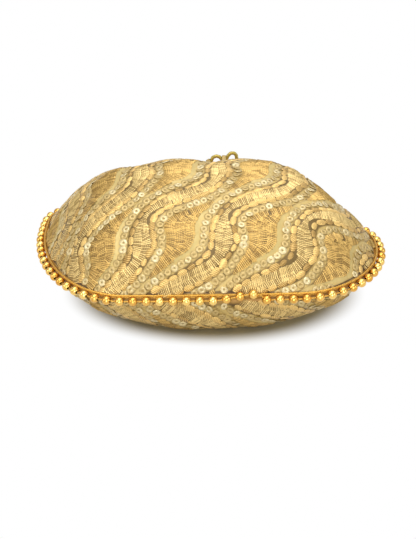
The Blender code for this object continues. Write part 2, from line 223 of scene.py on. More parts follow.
@dataclass(frozen=True)
class BagShape:
    """The stuffed cloth in the pattern's frame, with the sizes that the solids were made to."""

    base_half: float = 52 * MM
    left_half: float = 114.5 * MM
    right_half: float = 109.8 * MM
    left_widest: float = 101 * MM
    right_widest: float = 67 * MM
    left_shoulder: float = 2.1
    right_shoulder: float = 1.2
    seam_height: float = 33 * MM
    seam_tilt: float = 0.017
    seam_bow: float = 0.13
    seam_gap: float = 0.3 * MM
    hump_height: float = 53.5 * MM
    hump_distance: float = 95 * MM
    hump_onset: float = 0.6
    hump_fall: float = 0.6
    hump_power: float = 3.4
    hump_lean: float = -6 * MM
    belly_depth: float = 36 * MM
    belly_distance: float = 49 * MM
    belly_onset: float = 0.367
    belly_side: float = 0.6
    neck_distance: float = 185 * MM
    neck_radius: float = 18.5 * MM
    neck_side: float = 9.4 * MM
    neck_height: float = 31 * MM  # 2.5 mm lower than the solid, where the photo's cord shows over the hump
    neck_run: float = 57 * MM
    collar_half: float = 6 * MM
    frill_length: float = 16 * MM
    frill_flare: float = 11 * MM
    frill_droop: float = 11 * MM
    fold_depth: float = 1.7 * MM
    fold_run: float = 29 * MM
    frill_wave: float = 0.9
    folds: int = 12
    creases: tuple[tuple[float, float, float], ...] = (  # each one's angle in degrees, depth and width
        (-24, 2.4 * MM, 7), (3, 3.0 * MM, 6),
        (54, 5.8 * MM, 13),  # deeper and wider than in the solids, as the photo shows
    )
    crease_run: float = 75 * MM  # 15 mm longer than in the solids, as the photo shows
    cloth: float = 1.2 * MM
    lining: float = 0.8 * MM
    lining_gap: float = 0.35 * MM
    lining_slack: float = 1.2 * MM
    lining_run: float = 32 * MM
    bead_radius: float = 2.5 * MM
    bead_gap: float = 0.35 * MM
    outline_steps: int = 120

    @property
    def inset(self) -> float:
        """From the bead row to the cloth's edge."""
        return self.bead_radius + self.bead_gap

    @property
    def neck_start(self) -> float:
        """Where the straight neck starts, behind the bottom row."""
        return self.neck_distance - self.collar_half

    @property
    def neck_end(self) -> float:
        """Where the straight neck ends."""
        return self.neck_distance + self.collar_half

    @property
    def neck_onset(self) -> float:
        """Where the body starts to turn into the neck."""
        return self.neck_start - self.neck_run

    @property
    def mouth(self) -> float:
        """The mouth's edge."""
        return self.neck_end + self.frill_length

    def side_line(self, side: int, inset: float = 0.0) -> tuple[np.ndarray, np.ndarray]:
        """Gives one side of the outline, seen from above.

        Args:
            side: -1 for the left side, 1 for the right one.
            inset: how far inside the bead row it runs.

        Returns:
            The line's x and y, from the bottom's straight run to the neck.
        """
        left = (self.left_half, self.left_widest, self.left_shoulder)
        right = (self.right_half, self.right_widest, self.right_shoulder)
        half, widest, shoulder = left if side < 0 else right
        turn = np.linspace(0, math.pi / 2, self.outline_steps)
        reach = self.base_half + (half - self.base_half) * np.sin(turn)
        corner = np.stack([reach, widest * (1 - np.cos(turn))], 1)
        t = np.linspace(0, 1, self.outline_steps)[1:]
        end = side * self.neck_side + self.neck_radius + self.inset
        run_in = end + (half - end) * (0.5 + 0.5 * np.cos(math.pi * t**shoulder))
        line = np.concatenate([corner, np.stack([run_in, widest + (self.neck_start - widest) * t], 1)])
        along = unit(np.gradient(line, axis=0))
        line = line + inset * np.stack([-along[:, 1], along[:, 0]], 1)
        return side * line[:, 0], line[:, 1]

    def neck_share(self, y: np.ndarray) -> np.ndarray:
        """How far the body has turned into the neck at a distance y."""
        return smooth(y, self.neck_onset, self.neck_start)

    def frill_share(self, y: np.ndarray) -> np.ndarray:
        """0 at the neck's end and 1 at the mouth's edge."""
        return np.clip((y - self.neck_end) / self.frill_length, 0, 1)

    def edges(self, y: np.ndarray) -> list[np.ndarray]:
        """Gives the cloth's left and right edge at a distance y."""
        flare = self.neck_radius + self.frill_flare * self.frill_share(y)
        found = []
        for side in (-1, 1):
            x_line, y_line = self.side_line(side, self.inset)
            on_body = np.interp(y, y_line, x_line)
            found.append(np.where(y < self.neck_start, on_body, self.neck_side + side * flare))
        return found

    def seam(self, x: np.ndarray, y: np.ndarray) -> np.ndarray:
        """Gives the height of the seam's plane over the table."""
        body = self.seam_height + self.seam_tilt * x + self.seam_bow * x * x
        neck = self.neck_height - self.frill_droop * self.frill_share(y)
        return body + (neck - body) * self.neck_share(y)

    def _section(self, face: Face, y: np.ndarray, start: np.ndarray) -> tuple[Any, Any, Any]:
        """Gives the form of a panel's cross section.

        Args:
            face: which panel.
            y: distances behind the bottom bead row.
            start: how far the panel has risen there, from 0 at its edge to 1 at its fullest place.

        Returns:
            The height over the seam, and the two powers that the section is drawn with.
        """
        neck = self.neck_share(y)
        swell = 1 - (1 - start) ** 2
        if face is Face.BACK:
            height = (self.belly_depth * (1 - neck) + self.neck_radius * neck) * swell**self.belly_onset
            return height, ELLIPSE_POWER, self.belly_side + (ELLIPSE_SIDE - self.belly_side) * neck
        rise = self.hump_height * swell**self.hump_onset
        back = np.clip((y - self.hump_distance) / (self.neck_start - self.hump_distance), 0, 1)
        fall = np.cos(math.pi / 2 * back**self.hump_fall)
        fall = self.neck_radius + (self.hump_height - self.neck_radius) * fall
        power = self.hump_power + (ELLIPSE_POWER - self.hump_power) * neck
        return np.where(y < self.hump_distance, rise, fall), power, 1 + (ELLIPSE_SIDE - 1) * neck

    def _fold(self, turn: np.ndarray, y: np.ndarray) -> np.ndarray:
        """Gives how far the neck's gathers push the cloth out."""
        fold = self.fold_depth * smooth(y, self.neck_start - self.fold_run, self.neck_start)
        fold = fold * (1 + self.frill_wave * self.frill_share(y))
        return fold * np.cos(self.folds * (math.pi / 2 - turn))

    def _crease(self, turn: np.ndarray, y: np.ndarray) -> np.ndarray:
        """Gives how far the creases between the hump and the neck press the front in."""
        ramp = smooth(y, self.neck_onset - self.crease_run, self.neck_onset)
        ramp = ramp * (1 - smooth(y, self.neck_start - self.fold_run, self.neck_start))
        turned = np.degrees(turn)
        return ramp * sum(
            deep * np.exp(-(((turned - place) / wide) ** 2)) for place, deep, wide in self.creases
        )

    def point(self, turn: Any, y: Any, face: Face, depth: Any = 0.0, radial: float = 0.0) -> np.ndarray:
        """Gives points of a panel.

        Args:
            turn: angles across the panel, from -90 degrees at the left edge to 90 at the right, in radians.
            y: distances behind the bottom bead row.
            face: which panel.
            depth: how far inside the outer face.
            radial: how far outside it, for what sits on the neck.

        Returns:
            The points, with x, y and z along the last axis.
        """
        turn, y, depth = np.broadcast_arrays(*(np.asarray(given, float) for given in (turn, y, depth)))
        neck = self.neck_share(y)
        left, right = self.edges(y)
        middle = self.hump_lean * smooth(y, 0, self.hump_distance) * (1 - neck) + self.neck_side * neck
        across = np.sin(turn)
        reach = np.where(across < 0, middle - left, right - middle) - depth + radial
        front = face is Face.FRONT
        onset, full = (
            (self.hump_distance, self.hump_height) if front else (self.belly_distance, self.belly_depth)
        )
        start = np.clip((y - self.inset) / (onset - self.inset), 0, 1)
        height, power, side = self._section(face, y, start)
        thinned = np.where(y < onset, height * (1 - depth / full), height - depth) + radial
        fold = self._fold(turn, y)
        x = middle + reach * across + fold * across
        lift = thinned * np.maximum(1 - np.abs(across) ** power, 0) ** side + fold * np.cos(turn)
        if front:
            height = self.seam(x, y) + (self.seam_gap / 2 + lift - self._crease(turn, y))
        else:
            height = np.maximum(self.seam(x, y) - (self.seam_gap / 2 + lift), depth - radial)
        return np.stack([x, y + depth * (1 - start) * (y < onset), height], -1)


@dataclass(frozen=True)
class WavePattern:
    """The wave that the whole embroidery follows, in flat cloth coordinates: u across and v up the panel."""

    period: float = 50 * MM  # from one wave to its next copy
    drift: float = 0.85  # how far the waves run to the right as they go up
    length: float = 61 * MM  # of one swing, measured up the cloth
    rising_place: float = -12 * MM
    falling_place: float = 9 * MM
    copies: tuple[int, int] = (-5, 4)

    def swing(self, line: Line) -> tuple[float, float, float, float]:
        """The main swing's size and place up the cloth, and the same for its half-length overtone."""
        if line is Line.RISING:
            return 8.6 * MM, 5.7 * MM, 2.0 * MM, 0.0
        return 7.2 * MM, 15.3 * MM, 1.1 * MM, 20.7 * MM

    def across(self, line: Line, copy: float, v: np.ndarray) -> np.ndarray:
        """Gives the u of a wave at a height v on the cloth."""
        size, place, fine, fine_place = self.swing(line)
        start = self.rising_place if line is Line.RISING else self.falling_place
        turn = ROUND / self.length
        wave = size * np.sin(turn * (v - place)) + fine * np.sin(2 * turn * (v - fine_place))
        return start + self.period * copy + self.drift * v + wave

    def lean(self, line: Line, v: np.ndarray) -> np.ndarray:
        """Gives how much longer a step across is than one square to the wave, at a height v."""
        size, place, fine, fine_place = self.swing(line)
        turn = ROUND / self.length
        slope = self.drift + size * turn * np.cos(turn * (v - place))
        slope = slope + 2 * fine * turn * np.cos(2 * turn * (v - fine_place))
        return np.sqrt(1 + slope**2)

    def width(self, left: Line, right: Line, copy: int, v: np.ndarray) -> np.ndarray:
        """Gives the width of the field between a left wave and a copy of a right one, square to them."""
        gap = self.across(right, copy, v) - self.across(left, 0, v)
        return gap / (0.5 * (self.lean(left, v) + self.lean(right, v)))


@dataclass
class Places:
    """Spots on the cloth where something is sewn, with the directions that it is turned to."""

    spots: np.ndarray
    facing: np.ndarray
    along: np.ndarray
    stretch: np.ndarray

    def kept(self, mask: np.ndarray) -> Places:
        """Gives the spots that a mask keeps."""
        return Places(self.spots[mask], self.facing[mask], self.along[mask], self.stretch[mask])

    @staticmethod
    def joined(parts: Sequence[Places]) -> Places:
        """Puts several groups of spots together."""
        names = ("spots", "facing", "along", "stretch")
        return Places(*(np.concatenate([getattr(part, name) for part in parts]) for name in names))


class Panel:
    """One cloth panel as a fine grid, with flat cloth coordinates and the embroidery's relief."""

    across_count = 200
    body_rows = 110
    neck_rows = 56
    crowding = 1.8  # the power that crowds the rows at the bottom
    gather = 110 * MM  # past it the cloth is only drawn together
    least_drawn = 0.2  # the cloth is never drawn together to less than this share of its width
    quilting = 0.55 * MM  # how much the fields swell between the rows of sequins
    swell_span = (1.5 * MM, 7 * MM)  # from a row, between which the fields swell
    pucker_depth = 0.35 * MM
    pucker_run = 9 * MM
    pucker_middle = 70 * MM  # how far up the cloth the place lies that the puckers point to
    pucker_reach = 90 * MM  # so far from there, a pucker is one run wide
    pucker_fade = 8 * MM
    ripple_depth = 0.4 * MM
    ripple_lean = (0.9, 0.55)  # across and up the cloth
    ripple_length = 47 * MM
    ripple_bend = 1.3
    ripple_bend_run = 19 * MM
    ripple_span = (4 * MM, 20 * MM)  # from the seam, between which the ripples grow
    held_edge = 2.5 * MM  # nearer to the seam than this, the relief fades out
    held_mouth = (40 * MM, 30 * MM)  # before the mouth's edge, between which the relief ends
    row_span = (1.8 * MM, 3.0 * MM)  # from a row, between which the ground under the sequins ends
    hem = 3.4 * MM  # the turned edge beside the piping
    shade_line_place = 3.9 * MM  # where a dark line of painted shade runs beside the piping
    shade_line_width = 0.7 * MM
    pale_width = 2.7 * MM  # the plain stripe beside a leaf's right wave, where the leaf is wide
    pale_span = (9 * MM, 18 * MM)  # the leaf's widths between which the stripe grows
    beside_row = 3 * MM  # from a wave to the field beside it
    soft = 1 * MM  # how soft the border of a ground is
    top = 12 * MM  # how far before the neck the embroidery stops
    top_soft = 3 * MM

    def __init__(self, shape: BagShape, pattern: WavePattern, face: Face, offset: np.ndarray) -> None:
        """Works out the grid.

        Args:
            shape: the bag's sizes.
            pattern: the embroidery's wave.
            face: which panel.
            offset: from the pattern's frame to the solids' frame.
        """
        self.shape = shape
        self.pattern = pattern
        self.face = face
        self.offset = offset
        self.turns = np.linspace(-math.pi / 2, math.pi / 2, self.across_count + 1)
        body = np.linspace(0, 1, self.body_rows) ** self.crowding
        body = shape.inset + (self.gather - shape.inset) * body
        neck = np.linspace(self.gather, shape.mouth, self.neck_rows + 1)[1:]
        self.ys = np.concatenate([body, neck])
        turn_grid, y_grid = np.meshgrid(self.turns, self.ys)
        points = shape.point(turn_grid, y_grid, face)
        self._measure(points)
        self.points = points + self._normals(points) * self._relief()[..., None]
        if face is Face.BACK:
            self.points[..., 2] = np.maximum(self.points[..., 2], 0)
        self.normals = self._normals(self.points)
        step = np.linalg.norm(np.gradient(self.points, axis=1), axis=2)
        self.drawn = np.clip(step / np.maximum(np.gradient(self.u, axis=1), 1e-9), self.least_drawn, 1)

    def _normals(self, points: np.ndarray) -> np.ndarray:
        """Gives the outward directions of a grid."""
        normals = unit(np.cross(np.gradient(points, axis=1), np.gradient(points, axis=0)))
        return normals if self.face is Face.FRONT else -normals

    def _measure(self, points: np.ndarray) -> None:
        """Works out the cloth coordinates of the grid: u along its rows and v up its middle."""
        steps = np.linalg.norm(np.diff(points, axis=1), axis=2)
        u = np.concatenate([np.zeros((len(self.ys), 1)), np.cumsum(steps, axis=1)], 1)
        u = u - u[:, self.across_count // 2][:, None]
        last = int(np.searchsorted(self.ys, self.gather))
        u[last:] = u[last]
        self.u = u
        middle = points[:, self.across_count // 2]
        self.v_rows = distances(middle)
        self.v = np.repeat(self.v_rows[:, None], self.across_count + 1, axis=1)

    @property
    def sewn_end(self) -> float:
        """How far up the cloth the embroidery goes."""
        return float(np.interp(self.shape.neck_start - self.top, self.ys, self.v_rows))

    def nearest(self) -> np.ndarray:
        """Gives the distance from each grid point to the nearest row of sequins, square to the row."""
        period = self.pattern.period
        gaps = []
        for line in Line:
            past = np.mod(self.u - self.pattern.across(line, 0, self.v), period)
            gaps.append(np.minimum(past, period - past) / self.pattern.lean(line, self.v))
        return np.minimum.reduce(gaps)

    def edge_distance(self) -> np.ndarray:
        """Gives the distance from each grid point to the seam, along the cloth."""
        edge = np.minimum(self.u - self.u[:, :1], self.u[:, -1:] - self.u)
        return np.minimum(edge, self.v)

    def _relief(self) -> np.ndarray:
        """Gives how far the sewn cloth stands off its smooth shape."""
        swell = self.quilting * (smooth(self.nearest(), *self.swell_span) - 1)
        edge = self.edge_distance()
        along = np.arctan2(self.v - self.pucker_middle, self.u) * self.pucker_reach
        pucker = np.sin(ROUND * along / self.pucker_run) * np.exp(-edge / self.pucker_fade)
        run = self.u * self.ripple_lean[0] + self.v * self.ripple_lean[1]
        bend = self.ripple_bend * np.sin(self.v / self.ripple_bend_run)
        ripple = np.sin(ROUND * run / self.ripple_length + bend)
        ripple = ripple * smooth(edge, *self.ripple_span)
        first, last = (self.v_rows[-1] - before for before in self.held_mouth)
        held = smooth(edge, 0, self.held_edge) * (1 - smooth(self.v, first, last))
        return (swell + self.pucker_depth * pucker + self.ripple_depth * ripple) * held

    def leaf_width(self, v: np.ndarray) -> np.ndarray:
        """Gives the width of the leaf between a rising and a falling wave."""
        return self.pattern.width(Line.RISING, Line.FALLING, 0, v)

    def pale_at(self, v: np.ndarray) -> np.ndarray:
        """Gives the width of the plain stripe beside a leaf's right wave."""
        return self.pale_width * smooth(self.leaf_width(v), *self.pale_span)

    def locate(self, u: np.ndarray, v: np.ndarray, margin: float) -> tuple[np.ndarray, ...]:
        """Finds cloth coordinates on the stuffed surface.

        Args:
            u: across the cloth.
            v: up the cloth.
            margin: how far inside the edge a point has to lie.

        Returns:
            Points, outward directions, how far the cloth is drawn together there, and which of them exist.
        """
        row = np.interp(v, self.v_rows, np.arange(len(self.v_rows)))
        low = np.minimum(row.astype(int), len(self.v_rows) - 2)
        part = (row - low)[:, None]
        rows = self.u[low] * (1 - part) + self.u[low + 1] * part
        column = np.array([np.interp(a, r, np.arange(len(r))) for a, r in zip(u, rows)])
        left = np.minimum(column.astype(int), self.across_count - 1)
        side = (column - left)[:, None]

        def blend(grid: np.ndarray) -> np.ndarray:
            near = grid[low, left] * (1 - side) + grid[low, left + 1] * side
            far = grid[low + 1, left] * (1 - side) + grid[low + 1, left + 1] * side
            return near * (1 - part) + far * part

        inside = (u > rows[:, 0] + margin) & (u < rows[:, -1] - margin) & (v > margin) & (v < self.v_rows[-1])
        drawn = blend(self.drawn[..., None])[:, 0]
        return blend(self.points), unit(blend(self.normals)), drawn, inside

    def fields(self) -> dict[str, np.ndarray]:
        """Gives the share of each kind of ground at every grid point, for the cloth's colour; the bed and the
        groove are painted shade.
        """
        pattern, v = self.pattern, self.v
        leaf = np.mod(self.u - pattern.across(Line.RISING, 0, v), pattern.period)
        width = pattern.across(Line.FALLING, 0, v) - pattern.across(Line.RISING, 0, v)
        before = (width - leaf) / pattern.lean(Line.FALLING, v)
        stripe = self.beside_row + self.pale_at(v)
        pale = (leaf < width) * (1 - smooth(before, stripe, stripe + self.soft))
        row = 1 - smooth(self.nearest(), *self.row_span)
        sewn = 1 - smooth(v, self.sewn_end - self.top_soft, self.sewn_end)
        edge = self.edge_distance()
        hem = sewn * (1 - smooth(edge, self.hem - self.soft, self.hem))
        return {
            # the bed ground: a dark colour under the fills and cells, painted shade in the gaps between the
            # stitches and round the cells
            "bed": (1 - row) * (1 - pale) * sewn * (1 - hem),
            "pale": pale * (1 - row) * sewn,
            "row": row * sewn * (1 - hem),
            "hem": hem,
            # groove: a dark line of painted shade beside the piping
            "groove": sewn * np.exp(-(((edge - self.shade_line_place) / self.shade_line_width) ** 2)),
        }

    def sheet_mesh(self, name: str) -> Mesh:
        """Makes the panel's outer face as a mesh, with its cloth coordinates and its fields."""
        points = self.points + self.offset
        faces = grid_faces(*points.shape[:2], flipped=self.face is Face.BACK)
        mesh = make_mesh(name, points.reshape(-1, 3), faces)
        lay_map(mesh, np.stack([self.u.ravel(), self.v.ravel()], 1))
        for field, values in self.fields().items():
            set_field(mesh, field, values)
        return mesh


def grid_faces(rows: int, columns: int, flipped: bool = False) -> list[tuple[int, ...]]:
    """Gives the faces between the points of a grid, which look up, or down where they are flipped."""
    faces = []
    for j in range(rows - 1):
        for i in range(columns - 1):
            a = j * columns + i
            quad = (a, a + 1, a + columns + 1, a + columns)
            faces.append(quad[::-1] if flipped else quad)
    return faces


def ring_faces(rings: int, sides: int) -> list[tuple[int, ...]]:
    """Gives the faces of a closed tube whose points run ring by ring: its two ends, then its sides."""
    last = rings * sides - 1
    faces = [tuple(range(sides)), tuple(last - k for k in range(sides))]
    for j in range(rings - 1):
        for k in range(sides):
            a, b = j * sides + k, j * sides + (k + 1) % sides
            faces.append((a, a + sides, b + sides, b))
    return faces


def lay_map(mesh: Mesh, plane: np.ndarray) -> None:
    """Gives a mesh its map, from a pair of coordinates for each point."""
    corners = np.empty(len(mesh.loops), int)
    mesh.loops.foreach_get("vertex_index", corners)
    mesh.uv_layers.new(name="cloth").data.foreach_set("uv", plane[corners].ravel())


def set_field(mesh: Mesh, name: str, values: np.ndarray) -> None:
    """Stores a number at each point of a mesh."""
    mesh.attributes.new(name, "FLOAT", "POINT").data.foreach_set("value", values.ravel())


def make_mesh(name: str, points: np.ndarray, faces: Iterable[Sequence[int]]) -> Mesh:
    """Makes a smooth-shaded mesh from points and faces."""
    mesh = bpy.data.meshes.new(name)
    mesh.from_pydata(np.asarray(points).tolist(), [], [tuple(int(k) for k in face) for face in faces])
    mesh.shade_smooth()
    return mesh


def make_piece(name: str, mesh: Mesh, finish: Material | None) -> Object:
    """Makes an object at the origin from a mesh, with one finish."""
    made = bpy.data.objects.new(name, mesh)
    bpy.context.scene.collection.objects.link(made)
    if finish is not None:
        mesh.materials.clear()
        mesh.materials.append(finish)
    return made


def baked(piece: Object) -> Object:
    """Turns a piece's modifiers into its own plain mesh."""
    graph = bpy.context.evaluated_depsgraph_get()
    graph.update()
    found = piece.evaluated_get(graph)
    mesh = bpy.data.meshes.new_from_object(found, preserve_all_data_layers=True, depsgraph=graph)
    piece.modifiers.clear()
    piece.data = mesh
    return piece


@dataclass(frozen=True)
class Ground:
    """Gold tissue under the embroidery: a thin plain weave whose metal weft gives a pale shine."""

    name: str = "gold_tissue"
    plain: str = "#C2A05E"
    # painted shade in the gaps between the stitches and round the cells
    bed: str = "#685224"
    pale: str = "#BBA568"
    row: str = "#BDA463"
    hem: str = "#A67A34"
    # a dark line of painted shade beside the piping
    groove: str = "#3E2410"
    thread: float = 0.9 * ROUND * MM  # far coarser than the real 0.2 mm, so that the weave shows
    uneven: float = 1.5
    slub: float = 3 * MM  # the size of the thick places in the weft
    blotch: float = 14 * MM
    tones: tuple[float, float] = (0.82, 1.14)
    bump: float = 0.6
    bump_depth: float = 0.25 * MM
    roughness: float = 0.5
    metallic: float = 0.25

    def build(self) -> Material:
        """Makes the material."""
        made, tree, shader = new_finish(self.name)
        uv = cloth_map(tree)
        colour = linear(self.plain)
        for field in ("bed", "pale", "row", "hem", "groove"):
            colour = blended(tree, field_of(tree, field), colour, linear(getattr(self, field)))
        tone = remapped(tree, noise(tree, uv, self.blotch, detail=4.0), *self.tones)
        toned = add_node(tree, "ShaderNodeHueSaturation", {"Color": colour, "Value": tone})
        weft = bands(tree, uv, self.thread, self.uneven, "Y")
        warp = bands(tree, uv, self.thread, self.uneven, "X")
        weave = calculate(tree, "MULTIPLY", weft, warp)
        height = calculate(tree, "ADD", weave, noise(tree, uv, self.slub, detail=1.0))
        plug(tree, shader, {
            "Base Color": toned.outputs[0],
            "Normal": bumped(tree, height, self.bump, self.bump_depth),
            "Roughness": self.roughness,
            "Metallic": self.metallic,
        })
        return made


@dataclass(frozen=True)
class Thread:
    """Flat metal strip wound on a core, or silk with a metal shine, with a painted highlight on each ridge
    and painted shade between the ridges.
    """

    name: str
    # light and deep: mixed by each strand's ridge into a painted highlight on top and painted shade beside
    # it, and by a random share for each copy
    light: str
    deep: str
    strand: float  # the threads' spacing up the piece's own map
    roughness: float = 0.38
    metallic: float = 0.5
    ridge_shading: float = 0.45  # painted highlight and shade, between a ridge and the groove beside it
    twist: float = 0.0  # how far the strands lean, in radians per metre across
    bump: float = 0.3
    bump_depth: float = 0.12 * MM

    def build(self) -> Material:
        """Makes the material."""
        made, tree, shader = new_finish(self.name)
        split = add_node(tree, "ShaderNodeSeparateXYZ", {0: cloth_map(tree)})
        lean = calculate(tree, "MULTIPLY", split.outputs[0], self.twist)
        across = calculate(tree, "MULTIPLY", split.outputs[1], ROUND / self.strand)
        ridge = calculate(tree, "SINE", calculate(tree, "ADD", across, lean))
        # the ridge lightens the colour on each strand and darkens it between: painted highlight and painted
        # shade
        fine = remapped(tree, ridge, 0.0, self.ridge_shading, -1.0, 1.0)
        share = calculate(tree, "ADD", fine, field_of(tree, "shade"), clamp=True)
        plug(tree, shader, {
            "Base Color": blended(tree, share, linear(self.deep), linear(self.light)),
            "Normal": bumped(tree, ridge, self.bump, self.bump_depth),
            "Roughness": self.roughness,
            "Metallic": self.metallic,
        })
        return made


@dataclass(frozen=True)
class Plate:
    """Thin metal plate on a smooth body: gold on a bead, silver-gold on a sequin. Each copy's colour lies
    between a bright and a dull colour, by clouds and a random share; the few bright sequins are painted
    glints.
    """

    name: str
    colour: str
    dull_colour: str
    roughness: float
    grain: float = 1.5 * MM
    metallic: float = 1.0
    dull_share: float = 0.0  # how much more of it is dull than bright; on the sequins the rare bright copies are painted glints
    patchy: float = 0.3  # how much its clouds add to that or take away
    clouds: tuple[float, float] = (0.3, 0.7)  # the clouds' own range
    worn: tuple[float, float] = (0.7, 1.4)  # the least and the most of its roughness, as shares

    def build(self) -> Material:
        """Makes the material."""
        made, tree, shader = new_finish(self.name)
        place = add_node(tree, "ShaderNodeTexCoord").outputs["Object"]
        cloud = noise(tree, place, self.grain, detail=3.0)
        dull = remapped(tree, cloud, self.dull_share - self.patchy, self.dull_share + self.patchy, *self.clouds)
        share = calculate(tree, "ADD", dull, field_of(tree, "shade"), clamp=True)
        least, most = self.worn
        plug(tree, shader, {
            "Base Color": blended(tree, share, linear(self.colour), linear(self.dull_colour)),
            "Roughness": remapped(tree, cloud, self.roughness * least, self.roughness * most),
            "Metallic": self.metallic,
        })
        return made


@dataclass(frozen=True)
class Hole:
    """The drilled bore of a bead, painted near black as the shade where no light gets in."""

    name: str = "bead_bore"
    colour: str = "#120B04"
    grain: float = 0.8 * MM
    roughness: tuple[float, float] = (0.6, 0.95)
    specular: float = 0.1

    def build(self) -> Material:
        """Makes the material."""
        made, tree, shader = new_finish(self.name)
        place = add_node(tree, "ShaderNodeTexCoord").outputs["Object"]
        plug(tree, shader, {
            "Roughness": remapped(tree, noise(tree, place, self.grain, detail=2.0), *self.roughness),
            "Base Color": linear(self.colour),
            "Specular IOR Level": self.specular,
        })
        return made


@dataclass(frozen=True)
class Satin:
    """Polyester satin of the lining: long floats that give a soft, broad shine."""

    name: str = "satin_lining"
    colour: str = "#C8A66B"
    deep: str = "#9C7C45"
    thread: float = 0.8 * ROUND * MM  # the floats' spacing, coarser than real ones, so that it shows
    uneven: float = 0.8
    blotch: float = 25 * MM
    bump: float = 0.3
    bump_depth: float = 0.1 * MM
    roughness: float = 0.36
    sheen: float = 0.3

    def build(self) -> Material:
        """Makes the material."""
        made, tree, shader = new_finish(self.name)
        uv = cloth_map(tree)
        floats = bands(tree, uv, self.thread, self.uneven, "DIAGONAL")
        cloud = noise(tree, uv, self.blotch, detail=3.0)
        plug(tree, shader, {
            "Base Color": blended(tree, cloud, linear(self.deep), linear(self.colour)),
            "Normal": bumped(tree, floats, self.bump, self.bump_depth),
            "Roughness": self.roughness,
            "Sheen Weight": self.sheen,
        })
        return made


class Stamps:
    """Sews one small shape onto many places with Geometry Nodes."""

    seed = 7
    directions = ("facing", "along", "stretch")

    def __init__(self) -> None:
        """Builds the node tree once, with its named inputs."""
        tree = bpy.data.node_groups.new("sewn_on", "GeometryNodeTree")
        face = tree.interface
        face.new_socket("Geometry", in_out="INPUT", socket_type="NodeSocketGeometry")
        self.sockets = {}
        for name, kind in (
            ("Stamp", "NodeSocketObject"), ("Finish", "NodeSocketMaterial"), ("Tilt", "NodeSocketFloat"),
            ("Uneven", "NodeSocketFloat"), ("Seed", "NodeSocketInt"),
        ):
            self.sockets[name] = face.new_socket(name, in_out="INPUT", socket_type=kind).identifier
        face.new_socket("Geometry", in_out="OUTPUT", socket_type="NodeSocketGeometry")
        given = add_node(tree, "NodeGroupInput").outputs
        facing, along, stretch = (
            add_node(tree, "GeometryNodeInputNamedAttribute", {0: name}, data_type="FLOAT_VECTOR").outputs[0]
            for name in self.directions
        )
        aim = add_node(
            tree, "FunctionNodeAxesToRotation", {0: facing, 1: along}, primary_axis="Z", secondary_axis="X"
        )
        minus = calculate(tree, "MULTIPLY", given["Tilt"], -1.0)
        low = add_node(tree, "ShaderNodeCombineXYZ", {axis: minus for axis in range(3)})
        high = add_node(tree, "ShaderNodeCombineXYZ", {axis: given["Tilt"] for axis in range(3)})
        nudge = add_node(
            tree, "FunctionNodeRandomValue", {0: low.outputs[0], 1: high.outputs[0], "Seed": given["Seed"]},
            data_type="FLOAT_VECTOR",
        )
        tilt = add_node(tree, "FunctionNodeEulerToRotation", {0: nudge.outputs[0]})
        turned = add_node(
            tree, "FunctionNodeRotateRotation", {0: aim.outputs[0], 1: tilt.outputs[0]},
            rotation_space="LOCAL",
        )
        small = calculate(tree, "SUBTRACT", 1.0, given["Uneven"])
        large = calculate(tree, "ADD", 1.0, given["Uneven"])
        size = self._draw(tree, small, large, calculate(tree, "ADD", given["Seed"], 1.0))
        scale = add_node(tree, "ShaderNodeVectorMath", {0: stretch, "Scale": size}, operation="SCALE")
        stamp = add_node(tree, "GeometryNodeObjectInfo", {"Object": given["Stamp"]})
        sewn = add_node(
            tree, "GeometryNodeInstanceOnPoints",
            {
                "Points": given["Geometry"], "Instance": stamp.outputs["Geometry"],
                "Rotation": turned.outputs[0], "Scale": scale.outputs[0],
            },
        )
        tone = self._draw(tree, 0.0, 1.0, calculate(tree, "ADD", given["Seed"], 2.0))
        toned = add_node(
            tree, "GeometryNodeStoreNamedAttribute",
            {"Geometry": sewn.outputs[0], "Name": "shade", "Value": tone},
            data_type="FLOAT", domain="INSTANCE",
        )
        real = add_node(tree, "GeometryNodeRealizeInstances", {0: toned.outputs[0]})
        done = add_node(
            tree, "GeometryNodeSetMaterial", {"Geometry": real.outputs[0], "Material": given["Finish"]}
        )
        add_node(tree, "NodeGroupOutput", {0: done.outputs[0]})
        self.tree = tree

    @staticmethod
    def _draw(tree: NodeTree, low: Any, high: Any, seed: Any) -> NodeSocket:
        """Adds a random number between two others, drawn anew for each copy, and gives it."""
        inputs = {2: low, 3: high, "Seed": seed}
        return add_node(tree, "FunctionNodeRandomValue", inputs, data_type="FLOAT").outputs[1]

    def sew(
        self, name: str, places: Places, stamp: Mesh, finish: Material,
        tilt: float = 0.0, uneven: float = 0.0,
    ) -> Object:
        """Sews a shape onto its places and gives the result as one plain mesh.

        Args:
            name: the piece's name.
            places: where the shape goes, in the solids' frame.
            stamp: the shape, lying on its own XY plane with X along the row.
            finish: its material.
            tilt: how far single copies lean out of line, in degrees.
            uneven: how much single copies differ in size, as a share.

        Returns:
            The piece.
        """
        mesh = bpy.data.meshes.new(name)
        mesh.from_pydata(places.spots.tolist(), [], [])
        for field in self.directions:
            values = getattr(places, field)
            mesh.attributes.new(field, "FLOAT_VECTOR", "POINT").data.foreach_set("vector", values.ravel())
        piece = make_piece(name, mesh, None)
        shape = bpy.data.objects.new(f"{name}_stamp", stamp)
        modifier = piece.modifiers.new("sewn", "NODES")
        modifier.node_group = self.tree
        for socket, value in (
            ("Stamp", shape), ("Finish", finish), ("Tilt", math.radians(tilt)), ("Uneven", uneven),
            ("Seed", self.seed),
        ):
            modifier[self.sockets[socket]] = value
        baked(piece)
        bpy.data.objects.remove(shape)
        points = np.empty(len(piece.data.vertices) * 3)
        piece.data.vertices.foreach_get("co", points)
        points[2::3] = np.maximum(points[2::3], BED)
        piece.data.vertices.foreach_set("co", points)
        piece.data.shade_smooth()
        return piece


